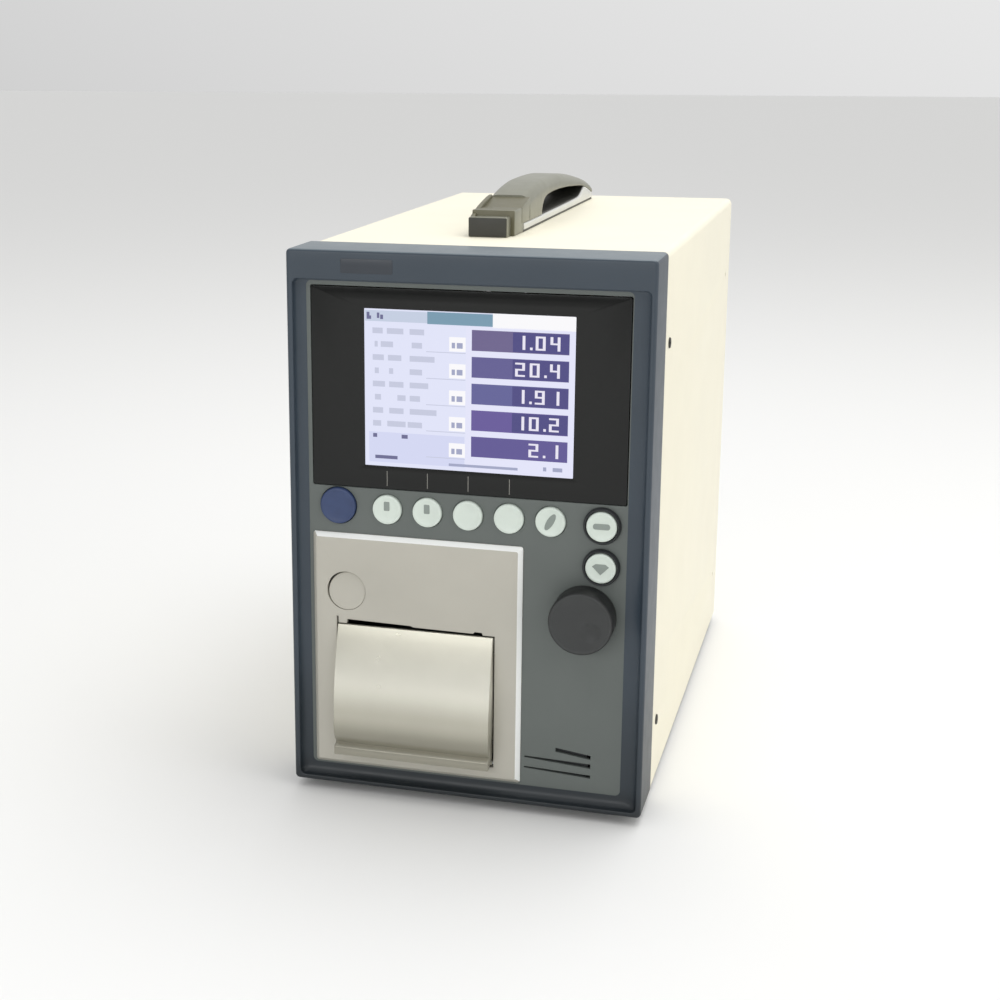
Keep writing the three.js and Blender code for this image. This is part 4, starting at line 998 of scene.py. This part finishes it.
def lit_chamfer_face(at, normal):
    """Whether a face is part of the plate's chamfer along its top or its right side, where a highlight
    is painted.
    """
    on_chamfer = at.y < plate_front + CHAMFER_DEPTH and -0.95 < normal.y < -0.2
    outer = at.x > printer_high.x - CHAMFER - MM or at.z > printer_high.z - CHAMFER - MM
    return on_chamfer and normal.x + normal.z > 0.3 and outer


# Painted highlight: the chamfers along the top and the right side, which face the light, get a
# near-white copy of the beige.
tint(moulded, 1, lit_chamfer_face)
painted_edge_highlight = look("printer_edge_highlight", (246, 248, 246), 0.3, mottle=0.01)
piece("printer_surround", moulded, "chassis", [beige, painted_edge_highlight],
      ["printer_frame"], sharp=30)


# ---- Door release ----
# A round thumb disc in the same plastic. Its face slopes back towards the top, so the surround
# shows a crescent of depth there, and it presses a latch behind the plate.

disc = bmesh.new()
DISC_RINGS = 14
profile = [((release_r - 0.5 * MM) * i / DISC_RINGS, plate_front) for i in range(DISC_RINGS + 1)]
profile += placed([(-0.15, 0.1), (0, 0.4)], release_r, plate_front)
profile += placed([(0, -1), (1.5, -1), (1.5, 0)], release_r, release_back) + [(0, release_back)]
SHIFT = 0.3 * MM
TOP_SETBACK = 2.2 * MM
lathe(disc, [(max(0, r - SHIFT) if r < release_r + MM else r, y) for r, y in profile],
      (release.x + SHIFT, release.z - SHIFT), sides=64)
for vertex in disc.verts:
    if vertex.co.y < plate_front + 1 * MM:
        up = (vertex.co.z - release.z + release_r) / (2 * release_r)
        vertex.co.y += 0.15 * MM + TOP_SETBACK * max(0, up) ** 1.6
piece("release_disc", disc, "door_release", [beige], ["door_release_button"],
      sharp=45)


# ---- Printer door ----
# The clamshell door is a satin champagne moulding that swells forward below the paper slot and
# tucks in over a thin lip. Its knuckles turn on a steel pin at the foot of the opening.

champagne = look("champagne_satin", (222, 220, 207), 0.26, metal=0.4, mottle=0.02, mottle_size=50,
                 grain=0.08, grain_size=3000, uneven=0.03)
# Painted light and shade: the door's colour is darkest at its foot, brightest a little above mid-height,
# where the highlight band falls, and dimmer again at the top.
paint_light_by_height(champagne, [(0, 0.42), (0.18, 0.46), (0.34, 0.68), (0.6, 1.06), (1, 0.72)],
     door_low.z, door_high.z)
pin = middle("door_hinge_pin")
top_front = plate_front - 0.2 * MM
swell = top_front - door_low.y - 0.5 * MM
SWELL_DROP = (door_high.z - door_low.z) * 0.74
TUCK_IN, TUCK_DROP, TUCK_TURN = 7 * MM, 11.5 * MM, math.radians(62)
skin_points = []
for i in range(19):
    share = i / 18
    skin_points.append((top_front - swell * math.sin(share * math.pi / 2) ** 0.95,
                        door_high.z - SWELL_DROP * share))
tuck_y, tuck_z = skin_points[-1]
for i in range(1, 9):
    turn = TUCK_TURN * i / 8
    skin_points.append((tuck_y + TUCK_IN * (1 - math.cos(turn)),
                        tuck_z - TUCK_DROP * math.sin(turn) / math.sin(TUCK_TURN)))
groove_y, groove_z = skin_points[-1]
skin_points += placed([(0.3, -0.7), (-0.6, -1.4), (-2.6, -2.2), (-3, -2.8)], groove_y, groove_z)
skin_points += placed([(-2.9, 0.9), (-2.2, 0.7)], groove_y, door_low.z)
skin_points += placed([(-5.2, 1.6), (-2.4, 3.7)], top_front, door_low.z)
skin_points += placed([(-1.2, 1), (-1.2, 4)], pin.y, pin.z)
skin_points += [(plate_front + 2 * MM, pin.z + 6 * MM)]
skin_points += placed([(2, -0.3), (1.7, 0)], plate_front, door_high.z)
skin_points.append((top_front + 0.5 * MM, door_high.z))
door = bmesh.new()
plate(door, skin_points, [], door_low.x, door_high.x, 0.5 * MM, "side", steps=4)
for start in (door_low.x, door_high.x - 8 * MM):
    lathe(door, [(1.35 * MM, start), (1.85 * MM, start), (1.85 * MM, start + 8 * MM),
                 (1.35 * MM, start + 8 * MM), (1.35 * MM, start)], (pin.y, pin.z), "X", 24)
piece("printer_hatch", door, "printer_door", [champagne], ["printer_door"],
      sharp=35)


# ---- Paper well, roll and print mechanism ----
# Seen with the door open: a black tray holding a roll of thermal paper, and above it the rubber
# platen in its sheet-metal frame, with the heater bar, the tear bar, the motor and the gears.

paper = look("thermal_paper", (240, 238, 230), 0.6, mottle=0.02, mottle_size=200)
core_card = look("roll_core", (150, 128, 100), 0.8, mottle=0.1, mottle_size=400)
acetal = look("acetal_gear", (222, 218, 204), 0.4, mottle=0.03)
ceramic = look("heater_ceramic", (148, 136, 116), 0.35, mottle=0.1)
for node, material in (("paper_well", black), ("platen_gear", acetal), ("idler_gear", acetal),
                       ("motor_pinion", brass), ("print_mechanism", zinc), ("printer_motor", zinc),
                       ("thermal_head", ceramic), ("tear_bar", steel), ("door_hinge_pin", steel)):
    dress(node, material)
low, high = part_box("paper_roll")
at = (low + high) / 2
roll_r = (high.z - low.z) / 2
winding = bmesh.new()
layers = 16
end_face = [(6 * MM + (roll_r - 6.2 * MM) * i / layers, low.x + (0.12 * MM if i % 2 else 0.02 * MM))
            for i in range(layers + 1)]
lathe(winding, end_face + [(roll_r, low.x + 0.2 * MM), (roll_r, high.x - 0.2 * MM)]
      + [(r, high.x - (x - low.x)) for r, x in reversed(end_face)]
      + [(6 * MM, low.x + 0.02 * MM)], (at.y, at.z), "X", 64)
tint(winding, 1, lambda face, normal: math.hypot(face.y - at.y, face.z - at.z) < 7 * MM)
piece("paper_winding", winding, "paper_roll", [paper, core_card], ["paper_roll"])
low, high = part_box("platen_roller")
platen = middle("platen_roller")
sleeve = bmesh.new()
platen_r = (high.z - low.z) / 2
sleeve_start, sleeve_end = low.x + 9.5 * MM, high.x - 13 * MM
lathe(sleeve, [(2.5 * MM, sleeve_start), (platen_r - 0.4 * MM, sleeve_start),
               (platen_r, sleeve_start + 0.4 * MM), (platen_r, sleeve_end - 0.4 * MM),
               (platen_r - 0.4 * MM, sleeve_end), (2.5 * MM, sleeve_end), (2.5 * MM, sleeve_start)],
      (platen.y, platen.z), "X", 40)
piece("platen_sleeve", sleeve, "platen", [rubber], ["platen_roller"])
spindle = bmesh.new()
lathe(spindle, placed([(0, 0), (2.1, 0), (2.48, 0.4)], 0, low.x)
      + placed([(2.48, -0.4), (2.1, 0), (0, 0)], 0, high.x), (platen.y, platen.z), "X", 24)
piece("platen_spindle", spindle, "platen", [steel])


# ---- Carrying handle ----
# A fixed grip screwed to the top of the cover. A light base rises at its rounded rear end on a thin
# dark strip, which is painted shadow under the base; a satin arch runs from the stepped nose over
# the finger opening down to that end.

handle_satin = look("handle_satin", (130, 130, 116), 0.36, metal=0.3, mottle=0.04, mottle_size=50,
                    grain=0.1)
# A darker copy of the handle's colour: painted shade on faces turned from the light, and a darker finish
# on the nose's step and slope.
handle_darker_finish_and_shade = look("handle_darker_finish_and_shade", (104, 101, 80), 0.42, metal=0.2, mottle=0.05, grain=0.1)
handle_light = look("handle_light", (214, 215, 212), 0.32, metal=0.15, mottle=0.03, mottle_size=60)
# Dark material: the pad's own colour, and painted shade and shadow elsewhere on the handle.
handle_dark = look("handle_dark", (54, 54, 49), 0.5, mottle=0.06, grain=0.2)
low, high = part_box("handle_base")
rear_end = high.y
x_mid, half = (low.x + high.x) / 2, half_across("handle_base")
foot_z = low.z
nose_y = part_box("handle_grip")[0].y


def along(points, y):
    """The height, in millimetres over the foot, of a line through points given from the nose."""
    here = (y - nose_y) / MM
    for (y0, z0), (y1, z1) in zip(points, points[1:]):
        if y0 <= here <= y1:
            t = (here - y0) / (y1 - y0)
            return z0 + (z1 - z0) * t
    return points[0][1] if here < points[0][0] else points[-1][1]


def smoothed(points, rounds=3):
    """The same line with its corners cut, its ends kept."""
    for _ in range(rounds):
        cut = [points[0]]
        for (y0, z0), (y1, z1) in zip(points, points[1:]):
            cut += [(y0 * 0.75 + y1 * 0.25, z0 * 0.75 + z1 * 0.25),
                    (y0 * 0.25 + y1 * 0.75, z0 * 0.25 + z1 * 0.75)]
        points = cut + [points[-1]]
    return points


def half_width(y):
    """Half the handle's width at y, which falls to nothing round the rear end."""
    past = max(0, y - (rear_end - half)) / half
    return half * math.sqrt(max(0.004, 1 - min(1, past) ** 2))


# Heights over the foot at places behind the nose, both in millimetres: the base's top edge, the
# arch's back, the finger opening's upper edge, and the arch's whole underside.
BASE_START, ARCH_START, ARCH_END = 32.2, 48, 264.8
OPENING_START, OPENING_END = 82, 226
LIFT = smoothed([(32, 5), (199, 5), (210, 6.4), (218, 8.9), (223, 11.4), (239, 8.3), (252, 5),
                 (264.5, 1.4), (265, 1.2)], 2)
BACK = smoothed([(48, 19.8), (56, 21.4), (64, 22.8), (79, 24.6), (94, 25.6), (119, 25.78),
                 (144, 25.4), (164, 24), (184, 21.9), (204, 19), (224, 15.9), (239, 13), (252, 9.4),
                 (260, 5.9), (264.8, 2.2)], 2)
OPENING = [(82, 5.1), (82.3, 5.2), (82.8, 7.5), (84, 9.4), (85.5, 11), (88, 12.8), (91, 14.2),
           (96, 15.4), (101, 16), (119, 16.6), (139, 16.4), (164, 15.5), (194, 13.7), (214, 12.3)]
UNDER = [(48, 5.1)] + OPENING + [(y, z + 0.15) for y, z in LIFT if y > 222]


def stations(points, start, end, extra=40):
    """Places along the handle: every corner of the line, and others that crowd towards the end."""
    places = [y for y, z in points if start <= y <= end]
    places += [start + (end - start) * (1 - (1 - i / extra) ** 2) for i in range(extra + 1)]
    return sorted({round(nose_y + y * MM, 6) for y in places})


def swept(bm, places, bottom_at, top_at, shoulder, foot_round, inset=0):
    """A bar whose section is set at each place: flat sides, rounded shoulders and rounded feet."""
    loops = []
    for y in places:
        w, z0, z1 = half_width(y) - inset, bottom_at(y), top_at(y)
        z1 = max(z1, z0 + 0.2 * MM)
        r = min(shoulder, (z1 - z0) * 0.75, w * 0.75)
        q = min(foot_round, (z1 - z0) * 0.2, w * 0.2)
        loop = []
        for cx, cz, radius, start, steps in ((w - q, z0 + q, q, -90, 4), (w - r, z1 - r, r, 0, 9),
                                             (-w + r, z1 - r, r, 90, 9), (-w + q, z0 + q, q, 180, 4)):
            for i in range(steps + 1):
                turn = math.radians(start + 90 * i / steps)
                loop.append((x_mid + cx + radius * math.cos(turn), y, cz + radius * math.sin(turn)))
        loops.append(loop)
    ends = loft(bm, loops)
    bm.faces.new(ends[0])
    bm.faces.new(ends[-1])


def rim_outline(inset, front):
    """The base's plan: square at the front and a half circle at the rear."""
    r = half - inset
    plan = [(x_mid - r, front), (x_mid + r, front)]
    for i in range(33):
        turn = math.pi * i / 32
        plan.append((x_mid + r * math.cos(turn), rear_end - half + r * math.sin(turn)))
    return plan


# Painted shadow: a thin dark strip under the base stands for the shadow line where the base meets the
# cover.
SHADOW_STRIP_HEIGHT = 1.3 * MM
shadow_strip = bmesh.new()
plate(shadow_strip, rim_outline(0.35 * MM, nose_y + BASE_START * MM), [], foot_z + SHADOW_STRIP_HEIGHT, foot_z, 0.1 * MM,
      "top")
piece("handle_shadow_strip", shadow_strip, "chassis", [handle_dark])
base = bmesh.new()
swept(base, stations(LIFT, BASE_START, 264.9), lambda y: foot_z + SHADOW_STRIP_HEIGHT,
      lambda y: foot_z + along(LIFT, y) * MM, 1.1 * MM, 0.3 * MM)
piece("handle_rim", base, "chassis", [handle_light], ["handle_base"], sharp=45)
low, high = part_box("handle_pad")
lining = bmesh.new()
plate(lining, rounded(low.x, high.x, low.y, high.y, 2 * MM), [], high.z, low.z, 0.3 * MM, "top")
swept(lining, stations(LIFT, 197, 222), lambda y: foot_z + (along(LIFT, y) - 0.3) * MM,
      lambda y: foot_z + (along(LIFT, y) + 0.5) * MM, 0.2 * MM, 0.05 * MM, 1.1 * MM)
piece("handle_lining", lining, "chassis", [handle_dark], ["handle_pad"])

arch = bmesh.new()
swept(arch, stations(OPENING + BACK, ARCH_START, ARCH_END, 60), lambda y: foot_z + along(UNDER, y) * MM,
      lambda y: foot_z + along(BACK, y) * MM, 6 * MM, 0.8 * MM)


def shaded_in_opening(at, normal):
    """Whether a face of the arch is under it inside the finger opening, where shade is painted with the
    dark material.
    """
    inside = OPENING_START < (at.y - nose_y) / MM < OPENING_END
    return inside and normal.z < 0.3 and at.z < foot_z + (along(UNDER, at.y) + 0.35) * MM


# Painted shade: the arch's underside inside the finger opening gets the dark material.
tint(arch, 1, shaded_in_opening)
piece("handle_arch", arch, "chassis", [handle_satin, handle_dark], ["handle_grip"],
      sharp=45)

nose = bmesh.new()
for right, y0, y1, top in ((2.8, 0, 10, 11.2), (0.35, 9, 31.9, 14.6)):
    step = rounded(x_mid - half, x_mid + half - right * MM, foot_z, foot_z + top * MM, 0.9 * MM, 3)
    plate(nose, step, [], nose_y + y0 * MM, nose_y + y1 * MM, 0.6 * MM, far_edge=0.1 * MM)
plate(nose, placed([(27, 5.2), (49, 5.2), (49, 18.8), (48, 18.7), (27, 14.5)], nose_y, foot_z),
      [], x_mid - half + 0.15 * MM, x_mid + half - 0.12 * MM, 0.5 * MM, "side")
# The nose's faces turned to the front get darker copies of the handle's colour, the very front darkest:
# painted shade, as these faces turn from the light. The up-facing step and slope behind get the darker
# copy as a darker finish.
tint(nose, 1, lambda at, normal: normal.y < -0.9 or normal.z > 0.9 and at.y > nose_y + 12 * MM)
tint(nose, 2, lambda at, normal: normal.y < -0.9 and at.y < nose_y + 5 * MM)
piece("handle_nose", nose, "chassis", [handle_satin, handle_darker_finish_and_shade, handle_dark],
      sharp=50)
# Painted shade: the left cheek gets the darker copy of the handle's colour, for the side that turns from
# the light.
CHEEK = [(0.3, 0.2), (31.8, 0.2), (31.8, 6), (48, 6), (48, 19.8), (41, 19.1), (34, 18.1), (28, 17.1),
         (22, 16), (16, 14.7), (10, 13.2), (5, 11.7), (2, 10.4), (0.3, 8.4)]
cheek = bmesh.new()
plate(cheek, placed(CHEEK, nose_y, foot_z), [], x_mid - half, x_mid - half + 2.8 * MM, 0.9 * MM, "side")
piece("handle_cheek", cheek, "chassis", [handle_darker_finish_and_shade], sharp=50)


# ---- Whole ----
# The box round all shown pieces, the floor left out, is found.

low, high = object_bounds()
